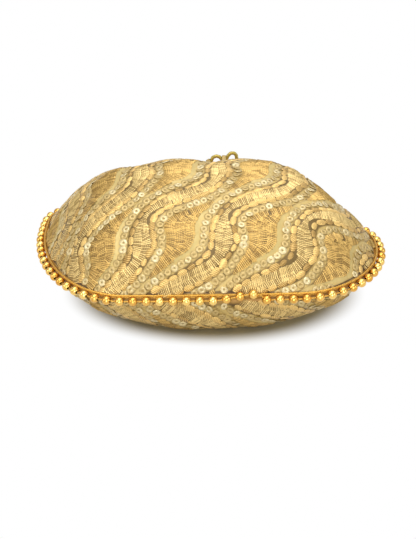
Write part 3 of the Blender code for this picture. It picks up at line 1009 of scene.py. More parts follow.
def stamp_mesh(name: str, points: np.ndarray, faces: Sequence[Sequence[int]], tall: float = 1.0) -> Mesh:
    """Makes a small shape whose map is its own X and Y, with Y stretched by a factor."""
    mesh = make_mesh(name, points, faces)
    lay_map(mesh, points[:, :2] * (1.0, tall))
    return mesh


@dataclass(frozen=True)
class Stamp:
    """A small shape that is sewn on many times."""

    tilt: float  # how far single copies lean out of line, in degrees
    uneven: float  # how much single copies differ in size, as a share

    def mesh(self) -> Mesh:
        """Makes the shape, lying on its own XY plane with X along the row."""
        raise NotImplementedError


@dataclass(frozen=True)
class Sequin(Stamp):
    """A flat ring with a raised middle band and a centre hole."""

    tilt: float = 13.0
    uneven: float = 0.05
    radius: float = 2.55 * MM
    hole: float = 0.5 * MM
    thick: float = 0.12 * MM
    crown: float = 0.26 * MM
    crown_place: float = 0.6  # of the raised band, as a share of the radius
    facet: float = 0.1 * MM  # how far every second spoke is pressed in
    seat: float = 0.25 * MM
    sides: int = 12

    def mesh(self) -> Mesh:
        """Makes the ring as a closed mesh, with pressed spokes that break up its shine."""
        low, top = self.seat, self.seat + self.thick
        band = (self.crown_place * self.radius, self.seat + self.crown)
        profile = ((self.hole, low), (self.hole, top), band, (self.radius, top), (self.radius, low))
        made = turned_stamp("sequin", profile, self.sides, closed=True)
        for vertex in made.vertices:
            spoke, place = divmod(vertex.index, len(profile))
            if spoke % 2 and place == profile.index(band):
                vertex.co.z -= self.facet
        return made


def turned_stamp(
    name: str, profile: Sequence[tuple[float, float]], sides: int, closed: bool, axis: int = 2
) -> Mesh:
    """Turns a profile around an axis.

    Args:
        name: the mesh's name.
        profile: distance from the axis and place along it, with the outside on the left of its direction.
        sides: how many sides the round has.
        closed: whether the profile's last point joins its first.
        axis: 2 turns around Z, 0 around X.

    Returns:
        The mesh.
    """
    points = []
    for k in range(sides):
        angle = ROUND * k / sides
        for reach, place in profile:
            round_point = (reach * math.cos(angle), reach * math.sin(angle), place)
            points.append(round_point if axis == 2 else (round_point[2], round_point[0], round_point[1]))
    wide = len(profile)
    faces = []
    for k in range(sides):
        for j in range(wide if closed else wide - 1):
            a, b = k * wide + j, k * wide + (j + 1) % wide
            c, d = (k + 1) % sides * wide + (j + 1) % wide, (k + 1) % sides * wide + j
            faces.append((a, d, c, b))
    return stamp_mesh(name, np.array(points), faces)


@dataclass(frozen=True)
class SatinCell(Stamp):
    """A padded lozenge of satin stitches."""

    tilt: float = 7.0
    uneven: float = 0.18
    length: float = 7.0 * MM
    width: float = 4.0 * MM
    height: float = 0.7 * MM
    sunk: float = 0.15 * MM  # how far its rim lies in the cloth
    blunt: tuple[float, float] = (3, 0.7)  # the powers that make its ends round
    flat: int = 4  # the power that makes its top flat
    steps_long: int = 8
    steps_wide: int = 4

    def mesh(self) -> Mesh:
        """Makes the lozenge's rounded top."""
        inner, outer = self.blunt
        points, faces = [], []
        for i in range(self.steps_long + 1):
            t = 2 * i / self.steps_long - 1
            wide = 0.5 * self.width * (1 - abs(t) ** inner) ** outer
            for j in range(self.steps_wide + 1):
                s = 2 * j / self.steps_wide - 1
                high = self.height * (1 - s**self.flat) * (1 - t**self.flat) - self.sunk
                points.append((0.5 * self.length * t, wide * s, high))
        columns = self.steps_wide + 1
        for i in range(self.steps_long):
            for j in range(self.steps_wide):
                a = i * columns + j
                faces.append((a, a + columns, a + columns + 1, a + 1))
        return stamp_mesh("satin_cell", np.array(points), faces)


@dataclass(frozen=True)
class Stitch(Stamp):
    """One long stitch of the fills: a low ridge of thread across the row, one unit long."""

    tilt: float = 3.0
    uneven: float = 0.06
    width: float = 0.95 * MM
    height: float = 0.65 * MM
    length: float = 5 * MM  # for its map alone
    sections: tuple[tuple[float, float, float], ...] = (  # place, rise and sinking of each one, as shares
        (-0.5, 0.3, -0.2), (-0.38, 0.8, 0.0), (0.38, 0.8, 0.0), (0.5, 0.3, -0.2),
    )
    ridge: tuple[tuple[float, float], ...] = ((-0.5, -0.3), (0.0, 1.0), (0.5, -0.3))  # across and up

    def mesh(self) -> Mesh:
        """Makes the ridge, a unit long in Y and at its real width in X."""
        points = []
        for place, rise, sunk in self.sections:
            for x, up in self.ridge:
                points.append((x * self.width, place, self.height * (up * rise + sunk)))
        faces = grid_faces(len(self.sections), len(self.ridge))
        return stamp_mesh("stitch", np.array(points), faces, self.length)


@dataclass
class Embroidery:
    """Sequins, satin cells and fills on one panel, all along the wave."""

    panel: Panel
    stamps: Stamps
    edge: float = 2.8 * MM  # how far inside the cloth's edge everything is sewn
    sequin_pitch: float = 4.8 * MM
    cell_place: float = 4.9 * MM  # from a wave to the middle of its cells
    cell_pitch: float = 6.3 * MM
    stitch_pitch: float = 1.15 * MM
    stitch_length: float = 5.2 * MM  # which sets how many stitches lie side by side in a field
    stitch_lean: float = 12.0  # in degrees, to the other side in every second column
    stitch_overlap: float = 1.15  # how much longer a stitch is than its column is wide
    most_columns: int = 7
    column_overlap: float = 0.16  # how far two neighbouring column counts run over each other
    narrowest: float = 1.5 * MM  # a field thinner than this stays without a fill
    band_start: float = 7.0 * MM  # from a wave to the fill of the band beside it
    drawn_sequins: float = 0.4  # no sequins where the cloth is drawn together to less than this share
    drawn_cells: float = 0.35  # the same for the cells
    narrowest_cell: float = 0.5  # a cell there keeps at least this share of its width
    trace_step: float = 0.6 * MM

    def _trace(
        self, u_at: Callable[[np.ndarray], np.ndarray], pitch: float
    ) -> tuple[Places, np.ndarray, np.ndarray]:
        """Follows a line on the cloth.

        Args:
            u_at: the line's u at heights v.
            pitch: the distance between places.

        Returns:
            The places, their heights v on the cloth and how far the cloth is drawn together there.
        """
        panel = self.panel
        v = np.arange(0, panel.sewn_end, self.trace_step)
        spots, facing, drawn, inside = panel.locate(u_at(v), v, self.edge)
        run = distances(spots)
        along = unit(np.gradient(spots, axis=0))
        at = np.arange(pitch / 2, run[-1], pitch)
        fine = np.interp(at, run, np.arange(len(run)))
        near = np.clip(np.round(fine).astype(int), 0, len(run) - 1)
        exact = along_path(at, run, spots)
        found = Places(exact + panel.offset, facing[near], along[near], np.ones((len(near), 3)))
        keep = inside[near]
        return found.kept(keep), v[near][keep], drawn[near][keep]

    def _copies(self) -> range:
        """The copies of the wave that can reach the panel."""
        return range(*self.panel.pattern.copies)

    def _sewn(self, kind: str, groups: Sequence[Places], stamp: Stamp, finish: Material) -> Object:
        """Sews one kind of shape onto groups of places."""
        name = f"{self.panel.face.value}_{kind}"
        return self.stamps.sew(name, Places.joined(groups), stamp.mesh(), finish, stamp.tilt, stamp.uneven)

    def sequins(self, finish: Material) -> Object:
        """Sews the sequins, edge to edge along every wave."""
        pattern = self.panel.pattern
        groups = []
        for line in Line:
            for copy in self._copies():
                def u_at(v: np.ndarray, line: Line = line, copy: int = copy) -> np.ndarray:
                    return pattern.across(line, copy, v)

                places, _, drawn = self._trace(u_at, self.sequin_pitch)
                groups.append(places.kept(drawn > self.drawn_sequins))
        return self._sewn("sequins", groups, Sequin(), finish)

    def cells(self, finish: Material) -> Object:
        """Sews the chains of satin cells, one on the outer side of every wave."""
        pattern = self.panel.pattern
        groups = []
        for line, side in ((Line.FALLING, 1), (Line.RISING, -1)):
            for copy in self._copies():
                def u_at(v: np.ndarray, line: Line = line, copy: int = copy, side: int = side) -> np.ndarray:
                    return pattern.across(line, copy, v) + side * self.cell_place * pattern.lean(line, v)

                places, _, drawn = self._trace(u_at, self.cell_pitch)
                places.stretch[:, 1] = np.clip(drawn, self.narrowest_cell, 1)
                groups.append(places.kept(drawn > self.drawn_cells))
        return self._sewn("satin_cells", groups, SatinCell(), finish)

    def _fill(self, line: Line, start: float, width_at: Callable[[np.ndarray], np.ndarray]) -> list[Places]:
        """Places the stitches of one kind of field.

        Args:
            line: the wave on the field's left.
            start: from the wave to the field, square to the wave.
            width_at: the field's width at heights v, square to the wave.

        Returns:
            Groups of places.
        """
        pattern = self.panel.pattern
        columns = [(count, column) for count in range(1, self.most_columns + 1) for column in range(count)]
        groups = []
        for copy in self._copies():
            for count, column in columns:
                share = (column + 0.5) / count

                def u_at(v: np.ndarray, copy: int = copy, share: float = share) -> np.ndarray:
                    inward = start + width_at(v) * share
                    return pattern.across(line, copy, v) + inward * pattern.lean(line, v)

                places, v, drawn = self._trace(u_at, self.stitch_pitch)
                wide = width_at(v)
                lean = math.radians(self.stitch_lean) * (1 if column % 2 else -1)
                side = unit(np.cross(places.facing, places.along))
                places.along = unit(places.along * math.cos(lean) + side * math.sin(lean))
                places.stretch[:, 1] = self.stitch_overlap * wide / count * drawn
                fits = np.abs(np.maximum(wide / self.stitch_length, 1) - count) < 0.5 + self.column_overlap
                groups.append(places.kept(fits & (wide > self.narrowest)))
        return groups

    def leaf_fill(self, finish: Material) -> Object:
        """Sews the fill of the leaves between a rising and a falling wave."""
        panel = self.panel

        def width_at(v: np.ndarray) -> np.ndarray:
            return panel.leaf_width(v) - 2 * panel.beside_row - panel.pale_at(v)

        groups = self._fill(Line.RISING, panel.beside_row, width_at)
        return self._sewn("leaf_fill", groups, Stitch(), finish)

    def band_fill(self, finish: Material) -> Object:
        """Sews the fill of the bands between a falling wave and the next rising one."""
        pattern = self.panel.pattern

        def width_at(v: np.ndarray) -> np.ndarray:
            return pattern.width(Line.FALLING, Line.RISING, 1, v) - 2 * self.band_start

        return self._sewn("band_fill", self._fill(Line.FALLING, self.band_start, width_at), Stitch(), finish)


@dataclass(frozen=True)
class Tube:
    """A twisted cord that follows a line."""

    radius: float
    plies: int
    lay: float  # the length of one twist
    groove: float  # how deep the plies' grooves are, as a share of the radius
    sides: int

    def mesh(self, name: str, path: np.ndarray) -> Mesh:
        """Makes the cord as one closed mesh.

        Args:
            name: the mesh's name.
            path: the points that its middle follows.

        Returns:
            The mesh, with a map that holds the distance along and around.
        """
        along = unit(np.gradient(path, axis=0))
        side = np.zeros_like(path)
        start = np.cross(along[0], UP)
        if np.linalg.norm(start) < 0.1:
            start = np.cross(along[0], (0.0, 1.0, 0.0))
        side[0] = unit(start)
        for k in range(1, len(path)):
            side[k] = unit(side[k - 1] - along[k] * float(side[k - 1] @ along[k]))
        up = np.cross(side, along)
        run = distances(path)
        sides = self.sides
        rings = []
        for k in range(sides):
            angle = ROUND * k / sides
            turned = angle + ROUND * run / self.lay
            lobe = np.abs(np.cos(0.5 * self.plies * (turned - angle * 2)))
            reach = self.radius * (1 - self.groove + self.groove * lobe)
            rings.append(path + reach[:, None] * (math.cos(angle) * side + math.sin(angle) * up))
        points = np.stack(rings, 1).reshape(-1, 3)
        mesh = make_mesh(name, points, ring_faces(len(path), sides))
        layer = mesh.uv_layers.new(name="cloth")
        width = ROUND * self.radius / sides
        for polygon in mesh.polygons:
            seam = len(polygon.vertices) == 4 and {v % sides for v in polygon.vertices} == {0, sides - 1}
            for loop in polygon.loop_indices:
                vertex = mesh.loops[loop].vertex_index
                around = vertex % sides
                around = sides if seam and around == 0 else around
                layer.data[loop].uv = (width * around, run[vertex // sides])
        set_field(mesh, "shade", np.full(len(points), CORD_TONE))
        return mesh


def resampled(path: np.ndarray, step: float, fineness: int = 16) -> np.ndarray:
    """Gives points at even distances on a smooth curve through a path's points.

    Args:
        path: the points.
        step: the distance between the new points.
        fineness: how many straight pieces the curve has between two points.

    Returns:
        The new points.
    """
    ends = np.concatenate([[2 * path[0] - path[1]], path, [2 * path[-1] - path[-2]]])
    fine = []
    for a, b, c, d in zip(ends, ends[1:], ends[2:], ends[3:]):
        for t in np.linspace(0, 1, fineness, endpoint=False):
            square = 2 * a - 5 * b + 4 * c - d
            cube = 3 * b - a - 3 * c + d
            fine.append(b + 0.5 * ((c - a) * t + square * t**2 + cube * t**3))
    line = np.array([*fine, path[-1]])
    run = distances(line)
    return along_path(np.linspace(0, run[-1], max(int(run[-1] / step), 2)), run, line)


@dataclass
class Trim:
    """The bead row on its thread, and the two gold cords just above it."""

    shape: BagShape
    offset: np.ndarray
    pitch: float = 8.1 * MM
    stop: float = 19 * MM  # how far before the neck the row ends
    thread_radius: float = 0.55 * MM
    bore: float = 1.0 * MM
    bore_depth: float = 0.35  # how deep the bore can be seen, as a share of the bead's radius
    bore_lip: float = 0.05 * MM
    aim_reach: float = 0.5 * MM  # how far to each side a bead takes its direction from the row
    turned: float = 0.18  # how far the thread's pull turns the beads' bores outward
    plating: float = 0.28 * MM  # how much thicker a bead is than the solid's, as the photo shows
    piping_radius: float = 0.85 * MM
    piping_gap: float = 0.45 * MM
    piping_lean: float = math.radians(36)
    couching_lean: float = math.radians(16)
    ride: float = 4.0 * MM  # how far some front beads ride up over the piping
    ride_span: tuple[float, ...] = (0 * MM, 27 * MM, 28 * MM, 33 * MM)  # x: start, up, sink, end
    thread_step: float = 0.7 * MM
    piping_step: float = 0.5 * MM
    bead_rings: int = 10
    bead_sides: int = 20

    def _line(self) -> tuple[np.ndarray, np.ndarray]:
        """Gives the bead row seen from above, and the distances along it."""
        end = self.shape.neck_start - self.stop
        lines = []
        for side in (-1, 1):
            x_line, y_line = self.shape.side_line(side)
            kept = y_line <= end
            lines.append(np.stack([x_line[kept], y_line[kept]], 1))
        line = np.concatenate([lines[0][::-1], lines[1]])
        return line, distances(line)

    def row(self, at: np.ndarray) -> np.ndarray:
        """Gives points of the bead row at distances along it, in the pattern's frame."""
        line, run = self._line()
        x, y = along_path(at, run, line).T
        first, full, hold, last = self.ride_span
        lift = self.ride * smooth(x, first, full) * (1 - smooth(x, hold, last)) * (y < self.shape.bead_radius)
        return np.stack([x, y, self.shape.seam(x, y) + lift], 1)

    def beads(self, stamps: Stamps, gold: Material, dark: Material) -> list[Object]:
        """Makes the drilled beads and their bores, painted dark as shade."""
        length = float(self._line()[1][-1])
        count = round(length / self.pitch)
        at = length / count * (np.arange(count) + 0.5)
        along = unit(self.row(at + self.aim_reach) - self.row(at - self.aim_reach))
        along = unit(along + self.turned * np.cross(along, UP))
        facing = unit(np.cross(np.cross(along, UP), along))
        places = Places(self.row(at) + self.offset, facing, along, np.ones((count, 3)))
        radius = self.shape.bead_radius + self.plating
        start = math.asin(self.bore / radius)
        bends = np.linspace(start, math.pi - start, self.bead_rings + 1)
        ball = [(radius * math.sin(b), -radius * math.cos(b)) for b in bends]
        skin = turned_stamp("bead", ball[::-1], self.bead_sides, closed=False, axis=0)
        pieces = [stamps.sew("beads", places, skin, gold)]
        lip = radius * math.cos(start) - self.bore_lip
        inner = radius * math.cos(start) - self.bore_depth * radius
        for name, profile in (
            ("bead_bores_right", ((self.thread_radius, inner), (self.bore, lip))),
            ("bead_bores_left", ((self.bore, -lip), (self.thread_radius, -inner))),
        ):
            bore = turned_stamp(name, profile, self.bead_sides, closed=False, axis=0)
            pieces.append(stamps.sew(name, places, bore, dark))
        return pieces

    def thread(self, finish: Material) -> Object:
        """Makes the thread that the beads are strung on."""
        length = float(self._line()[1][-1])
        path = self.row(np.arange(0, length, self.thread_step)) + self.offset
        tube = Tube(self.thread_radius, plies=2, lay=3 * MM, groove=0.3, sides=8)
        return make_piece("bead_thread", tube.mesh("bead_thread", path), finish)

    def piping(self, name: str, lean: float, finish: Material) -> Object:
        """Makes a gold cord along the front panel's edge.

        Args:
            name: the piece's name.
            lean: how far over the bead row it lies, as an angle around the beads.
            finish: its material.

        Returns:
            The cord.
        """
        line, run = self._line()
        at = np.arange(0, run[-1], self.piping_step)
        flat = along_path(at, run, line)
        along = unit(np.gradient(flat, axis=0))
        inward = np.stack([-along[:, 1], along[:, 0]], 1)
        reach = self.shape.bead_radius + self.piping_gap + self.piping_radius
        height = self.shape.seam(flat[:, 0], flat[:, 1]) + reach * math.sin(lean)
        flat = flat + inward * reach * math.cos(lean)
        path = np.concatenate([flat, height[:, None]], 1) + self.offset
        tube = Tube(self.piping_radius, plies=2, lay=3.2 * MM, groove=0.3, sides=10)
        return make_piece(name, tube.mesh(name, path), finish)


@dataclass
class Drawstring:
    """The twisted cord around the neck with its two free ends, their knots and the cloth loops over it."""

    shape: BagShape
    offset: np.ndarray
    radius: float = 1.35 * MM
    gap: float = 0.3 * MM  # from the cord to the cloth
    carriers: int = 12
    exit_place: int = 10  # where the free ends come out, instead of a carrier
    carrier_half_width: float = 1.6 * MM
    carrier_half_length: float = 5.0 * MM
    carrier_thick: float = 0.6 * MM
    carrier_slack: float = 0.5 * MM
    carrier_waist: float = 0.12  # how much narrower a loop is in its middle
    carrier_corners: tuple[float, float] = (0.4, 0.6)  # the powers that make its section flat
    carrier_steps: int = 24
    carrier_sides: int = 12
    carrier_ground: tuple[tuple[str, float], ...] = (  # the shares of the cloth's grounds in its colour, mostly the painted shade of the bed
        ("bed", 0.6), ("pale", 0.4), ("row", 0.0), ("hem", 0.0), ("groove", 0.0),
    )
    loose_end: float = 0.3  # how far the cord runs on past its last carriers, as a share of a step
    run_points: int = 400
    path_step: float = 0.45 * MM
    knot_radius: float = 4.4 * MM
    knot_points: int = 120
    knot_stretch: float = 1.25  # how far it is drawn out along the cord
    knot_tip: float = 9 * MM
    tip_height: float = 0.2 * MM  # of the tip's end over the table
    bows: tuple[float, ...] = (2.2, 2.4, 2.8, 5.2, 2.6, 3.2, 2.4, 2.6, 3.0, 2.2)  # between the loops, in mm
    bow_power: float = 2.4
    tail_right: tuple[tuple[float, float, float], ...] = (
        (26.2, 185, 19.5), (24.7, 185.1, 16.4), (25.3, 186, 12.6), (29, 188, 9.0), (35.5, 191, 5.4),
        (43, 194, 2.7), (52, 197, 1.7), (61.5, 199.5, 1.6), (70.5, 200, 1.6), (79, 197.6, 1.6),
        (86, 192.4, 1.6), (90, 185, 2.4), (91.5, 178, 4.6), (91.8, 172, 4.6),
    )
    tail_left: tuple[tuple[float, float, float], ...] = (
        (13.1, 185, 11.9), (17.2, 185.2, 11.4), (21.8, 187, 8.9), (25.6, 190.5, 5.6), (28.4, 195.5, 3.0),
        (30.6, 202, 1.8), (30.5, 209, 1.6), (26, 215, 1.6), (18.5, 218.6, 1.6), (9.5, 220, 1.6),
        (0, 219.6, 1.6), (-9, 217.5, 2.4), (-16, 214, 4.6), (-21.2, 210.6, 4.6),
    )
    neck_drop: float = 2.5 * MM  # how far the neck sits lower than the tails' points were chosen for
    drop_points: int = 4  # the points that follow the neck down, less and less

    def _rope(self) -> Tube:
        """The cord's own section: three plies."""
        return Tube(self.radius, plies=3, lay=8 * MM, groove=0.16, sides=18)

    def run(self, finish: Material) -> Object:
        """Makes the stretch around the neck."""
        shape = self.shape
        step = ROUND / self.carriers
        first = step * (self.exit_place + 1) - ROUND
        count = self.carriers - 2
        ring = shape.neck_radius + shape.fold_depth + self.gap + self.radius
        held = (self.carrier_half_width + self.gap) / (ring * step)
        points = []
        for place in np.linspace(-self.loose_end, count + self.loose_end, self.run_points):
            number = int(min(max(place, 0), count - 1))
            free = min(max((place - number - held) / (1 - 2 * held), 0), 1)
            reach = ring + self.bows[number] * MM * (1 - abs(2 * free - 1) ** self.bow_power)
            angle = first + step * place
            x = shape.neck_side + reach * math.cos(angle)
            points.append((x, shape.neck_distance, shape.neck_height + reach * math.sin(angle)))
        path = resampled(np.array(points) + self.offset, self.path_step)
        return make_piece("drawstring", self._rope().mesh("drawstring", path), finish)

    def tail(self, side: str, finish: Material) -> tuple[Object, np.ndarray, Object]:
        """Makes one free end and its knot.

        Args:
            side: left or right, as the solids are named.
            finish: the cord's material.

        Returns:
            The cord, the points that it follows, and the knot.
        """
        places = self.tail_right if side == "right" else self.tail_left
        points = np.array(places) * MM + self.offset
        points[: self.drop_points, 2] -= self.neck_drop * np.linspace(1, 0, self.drop_points, endpoint=False)
        path = resampled(points, self.path_step)
        name = f"drawstring_end_{side}"
        cord = make_piece(name, self._rope().mesh(name, path), finish)
        along = path[-1] - path[-4]
        along[2] = 0
        return cord, path, self._knot(f"knot_{side}", path[-1], unit(along), finish)

    def _knot(self, name: str, end: np.ndarray, along: np.ndarray, finish: Material) -> Object:
        """Ties a knot with a short tip.

        Args:
            name: the piece's name.
            end: where the cord runs into the knot.
            along: the level direction that the cord has there.
            finish: the cord's material.

        Returns:
            The knot.
        """
        aside = np.cross(along, UP)
        middle = end + along * (self.gap + self.knot_radius)
        turns = np.linspace(0, ROUND, self.knot_points, endpoint=False)
        reach = (self.knot_radius - self.radius) / 3
        ring_x = -self.knot_stretch * reach * np.sin(3 * turns)
        ring_y = reach * (np.sin(turns) + 2 * np.sin(2 * turns))
        loop = middle + ring_x[:, None] * along + ring_y[:, None] * aside
        loop[:, 2] += reach * (np.cos(turns) - 2 * np.cos(2 * turns))
        tied = self._rope().mesh(name, np.concatenate([loop, loop[:2]]))
        start = middle + along * self.knot_radius
        last = middle + along * (self.knot_radius + self.knot_tip)
        last[2] = self.radius + self.tip_height
        tip = np.array([middle + along * self.radius, start, 0.5 * (start + last), last])
        tip_mesh = self._rope().mesh(f"{name}_tip", resampled(tip, self.path_step))
        return make_piece(name, joined_mesh(name, [tied, tip_mesh]), finish)

    def loops(self, finish: Material) -> list[Object]:
        """Makes the cloth loops that the cord runs under."""
        pieces = []
        step = ROUND / self.carriers
        places = [k for k in range(self.carriers) if k != self.exit_place]
        for number, place in enumerate(places, 1):
            pieces.append(self._loop(f"cord_loop_{number:02d}", step * place, finish))
        return pieces

    def _loop(self, name: str, angle: float, finish: Material) -> Object:
        """Makes one cloth loop at an angle around the neck."""
        shape = self.shape
        turned = math.remainder(angle, ROUND)
        face = Face.FRONT if turned >= 0 else Face.BACK
        turn = math.pi / 2 - abs(turned)
        sideways = np.array([-math.sin(angle), 0, math.cos(angle)])
        outward = np.array([math.cos(angle), 0, math.sin(angle)])
        steps, sides = self.carrier_steps, self.carrier_sides
        blunt_x, blunt_z = self.carrier_corners
        points = []
        for k in range(steps + 1):
            offset = self.carrier_half_length * (2 * k / steps - 1)
            bulge = math.cos(math.pi / 2 * offset / self.carrier_half_length) ** 2
            under = self.gap + (2 * self.radius + self.carrier_slack) * bulge
            low = shape.point(turn, shape.neck_distance + offset, face, 0.0, under)
            width = self.carrier_half_width * (1 - self.carrier_waist * bulge)
            for j in range(sides):
                a = ROUND * j / sides
                edge = math.copysign(abs(math.cos(a)) ** blunt_x, math.cos(a)) * width
                rise = math.copysign(abs(math.sin(a)) ** blunt_z, math.sin(a))
                rise = self.carrier_thick * (0.5 + 0.5 * rise)
                points.append(low + sideways * edge + outward * rise + self.offset)
        mesh = stamp_mesh(name, np.array(points), ring_faces(steps + 1, sides))
        for field, value in self.carrier_ground:
            set_field(mesh, field, np.full(len(points), value))
        return make_piece(name, mesh, finish)


def joined_mesh(name: str, parts: Sequence[Mesh]) -> Mesh:
    """Joins meshes into one, with their maps and fields."""
    pieces = [make_piece(f"{name}_part", part, None) for part in parts]
    with bpy.context.temp_override(active_object=pieces[0], selected_editable_objects=pieces):
        bpy.ops.object.join()
    mesh = pieces[0].data
    bpy.data.objects.remove(pieces[0])
    return mesh


@dataclass(frozen=True)
class Lamp:
    """A square soft box that is aimed at the bag."""

    name: str
    place: tuple[float, float, float]
    size: float
    power: float
    aim: tuple[float, float, float] = (0, 0, 0.04)  # the middle of the bag

    def light(self) -> None:
        """Puts the lamp in the scene."""
        data = bpy.data.lights.new(self.name, "AREA")
        data.size = self.size
        data.energy = self.power
        lamp = bpy.data.objects.new(self.name, data)
        lamp.location = self.place
        aim = unit(np.array(self.aim) - np.array(self.place))
        pitch = math.acos(-aim[2])
        lamp.rotation_euler = (pitch, 0, math.atan2(aim[1], aim[0]) - math.pi / 2)
        bpy.context.scene.collection.objects.link(lamp)


@dataclass
class Studio:
    """A white floor, soft light and the camera that the photograph was taken with."""

    offset: np.ndarray
    distance: float = 700 * MM  # from the camera to the front of the seam
    elevation: float = math.radians(26.5)
    scale: float = 0.6 * MM  # of one pixel at the front of the seam
    image: tuple[int, int] = (416, 539)
    seam_pixel: tuple[float, float] = (211.8, 301.0)
    seam_height: float = 33 * MM
    sensor: float = 36.0
    shadow_middle: tuple[float, float, float] = (4 * MM, -22 * MM, 0.0)
    shadow_reach: tuple[float, float, float] = (103 * MM, 80 * MM, 1.0)  # past it the floor is plain white
    shadow_end: float = 0.76  # where it starts to turn white, as a share of the reach
    floor_half: float = 4.0
    floor_shade_tint: str = "#B0A582"  # a dark tan, painted shade that darkens the bag's shadow and tints it and the light from below
    white: str = "#FFFFFF"
    room: float = 0.62  # how bright the room is for the bag
    lamps: tuple[Lamp, ...] = (
        Lamp("key", (-0.14, -0.3, 1.0), 0.5, 4.7),
        Lamp("top", (0.1, 0.3, 1.0), 0.8, 4.9),
        Lamp("front", (0.05, -1.1, 0.3), 0.5, 4.8),
        Lamp("left", (-1.0, -0.5, 0.55), 0.5, 2.8),
        Lamp("right", (1.0, -0.6, 0.55), 0.5, 2.6),
    )

    def camera(self) -> None:
        """Sets the camera so that the front of the seam falls on its own pixel."""
        focal = self.distance / self.scale
        ahead = np.array([0, math.cos(self.elevation), -math.sin(self.elevation)])
        above = np.array([0, math.sin(self.elevation), math.cos(self.elevation)])
        right = (self.seam_pixel[0] - self.image[0] / 2) * self.scale
        down = (self.seam_pixel[1] - self.image[1] / 2) * self.scale
        seam = np.array([0, 0, self.seam_height]) + self.offset
        place = seam - ahead * self.distance - np.array([1.0, 0, 0]) * right + above * down
        data = bpy.data.cameras.new("camera")
        data.sensor_fit = "VERTICAL"
        data.sensor_height = self.sensor
        data.lens = focal * self.sensor / self.image[1]
        data.clip_start = 0.01
        camera = bpy.data.objects.new("camera", data)
        camera.location = place
        camera.rotation_euler = (math.pi / 2 - self.elevation, 0, 0)
        bpy.context.scene.collection.objects.link(camera)
        bpy.context.scene.camera = camera

    def floor(self) -> Object:
        """Makes the floor, which keeps the bag's shadow; near the bag its dark tan colour is painted shade,
        and past shadow_end a white glow for camera, glossy and transmission rays paints over the shadow until
        the floor is plain white.
        """
        half = self.floor_half
        points = np.array([(-half, -half, 0), (half, -half, 0), (half, half, 0), (-half, half, 0)])
        made = bpy.data.materials.new("white_paper")
        made.use_nodes = True
        tree = made.node_tree
        tree.nodes.clear()
        matt = add_node(tree, "ShaderNodeBsdfDiffuse", {"Color": linear(self.floor_shade_tint)})
        rays = add_node(tree, "ShaderNodeLightPath").outputs
        seen = calculate(tree, "MAXIMUM", rays["Is Camera Ray"], rays["Is Glossy Ray"])
        seen = calculate(tree, "MAXIMUM", seen, rays["Is Transmission Ray"])
        place = add_node(tree, "ShaderNodeTexCoord").outputs["Object"]
        near = add_node(
            tree, "ShaderNodeMapping", {0: place, "Location": self.shadow_middle, "Scale": self.shadow_reach},
            vector_type="TEXTURE",
        )
        away = add_node(tree, "ShaderNodeVectorMath", {0: near.outputs[0]}, operation="LENGTH")
        far = add_node(
            tree, "ShaderNodeMapRange", {0: away.outputs["Value"], 1: self.shadow_end, 2: 1.0},
            interpolation_type="SMOOTHSTEP",
        )
        # the white glow paints over the outer part of the bag's shadow
        lift = calculate(tree, "MULTIPLY", seen, far.outputs[0])
        glow = add_node(tree, "ShaderNodeEmission", {"Color": linear(self.white), "Strength": 1.0})
        both = add_node(tree, "ShaderNodeMixShader", {0: lift, 1: matt.outputs[0], 2: glow.outputs[0]})
        add_node(tree, "ShaderNodeOutputMaterial", {0: both.outputs[0]})
        return make_piece("floor", make_mesh("floor", points, [(0, 1, 2, 3)]), made)

    def lights(self) -> None:
        """Adds the soft boxes and an even white world."""
        world = bpy.data.worlds.new("white_room")
        bpy.context.scene.world = world
        world.use_nodes = True
        tree = world.node_tree
        tree.nodes.clear()
        seen = add_node(tree, "ShaderNodeLightPath").outputs["Is Camera Ray"]
        plain, white = (
            add_node(tree, "ShaderNodeBackground", {"Color": linear(self.white), "Strength": strength})
            for strength in (self.room, 1.0)
        )
        both = add_node(tree, "ShaderNodeMixShader", {0: seen, 1: plain.outputs[0], 2: white.outputs[0]})
        add_node(tree, "ShaderNodeOutputWorld", {0: both.outputs[0]})
        for lamp in self.lamps:
            lamp.light()


def lining_piece(panel: Panel, finish: Material) -> Object:
    """Makes the satin lining behind one panel."""
    shape = panel.shape
    turn_grid, y_grid = np.meshgrid(panel.turns[::2], np.append(panel.ys[:-1:2], panel.ys[-1]))
    loose = smooth(y_grid, shape.inset, shape.inset + shape.lining_run)
    loose = loose * (1 - smooth(y_grid, shape.neck_start - shape.fold_run, shape.mouth))
    depth = shape.cloth + shape.lining_gap + shape.lining_slack * loose
    points = shape.point(turn_grid, y_grid, panel.face, depth)
    name = f"{panel.face.value}_satin"
    faces = grid_faces(*points.shape[:2], flipped=panel.face is Face.BACK)
    mesh = make_mesh(name, (points + panel.offset).reshape(-1, 3), faces)
    lay_map(mesh, points.reshape(-1, 3)[:, :2])
    return thickened(make_piece(name, mesh, finish), shape.lining)


def thickened(piece: Object, thickness: float) -> Object:
    """Gives a sheet its thickness on its inner side."""
    solid = piece.modifiers.new("thickness", "SOLIDIFY")
    solid.thickness = thickness
    solid.offset = -1
    return baked(piece)


def settle(piece: Object, slot: str, *nodes: str) -> None:
    """Lets a piece ride on the bag and hides the solids that it stands for."""
    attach(piece, BODY)
    if nodes:
        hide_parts(*nodes)
    log.info("%s: %d faces", piece.name, len(piece.data.polygons))


def add_drawstring(drawstring: Drawstring) -> None:
    """Adds the drawstring around the neck, its free ends and their knots."""
    rope = Thread("twisted_metal_cord", "#CDB860", "#8A752C", 0.55 * MM, twist=900.0, metallic=0.6).build()
    settle(drawstring.run(rope), "drawstring_cord", "drawstring_run")
    for side in ("right", "left"):
        cord, path, knot = drawstring.tail(side, rope)
        settle(cord, "drawstring_cord", f"drawstring_tail_{side}")
        settle(knot, "drawstring_cord", f"end_knot_{side}")


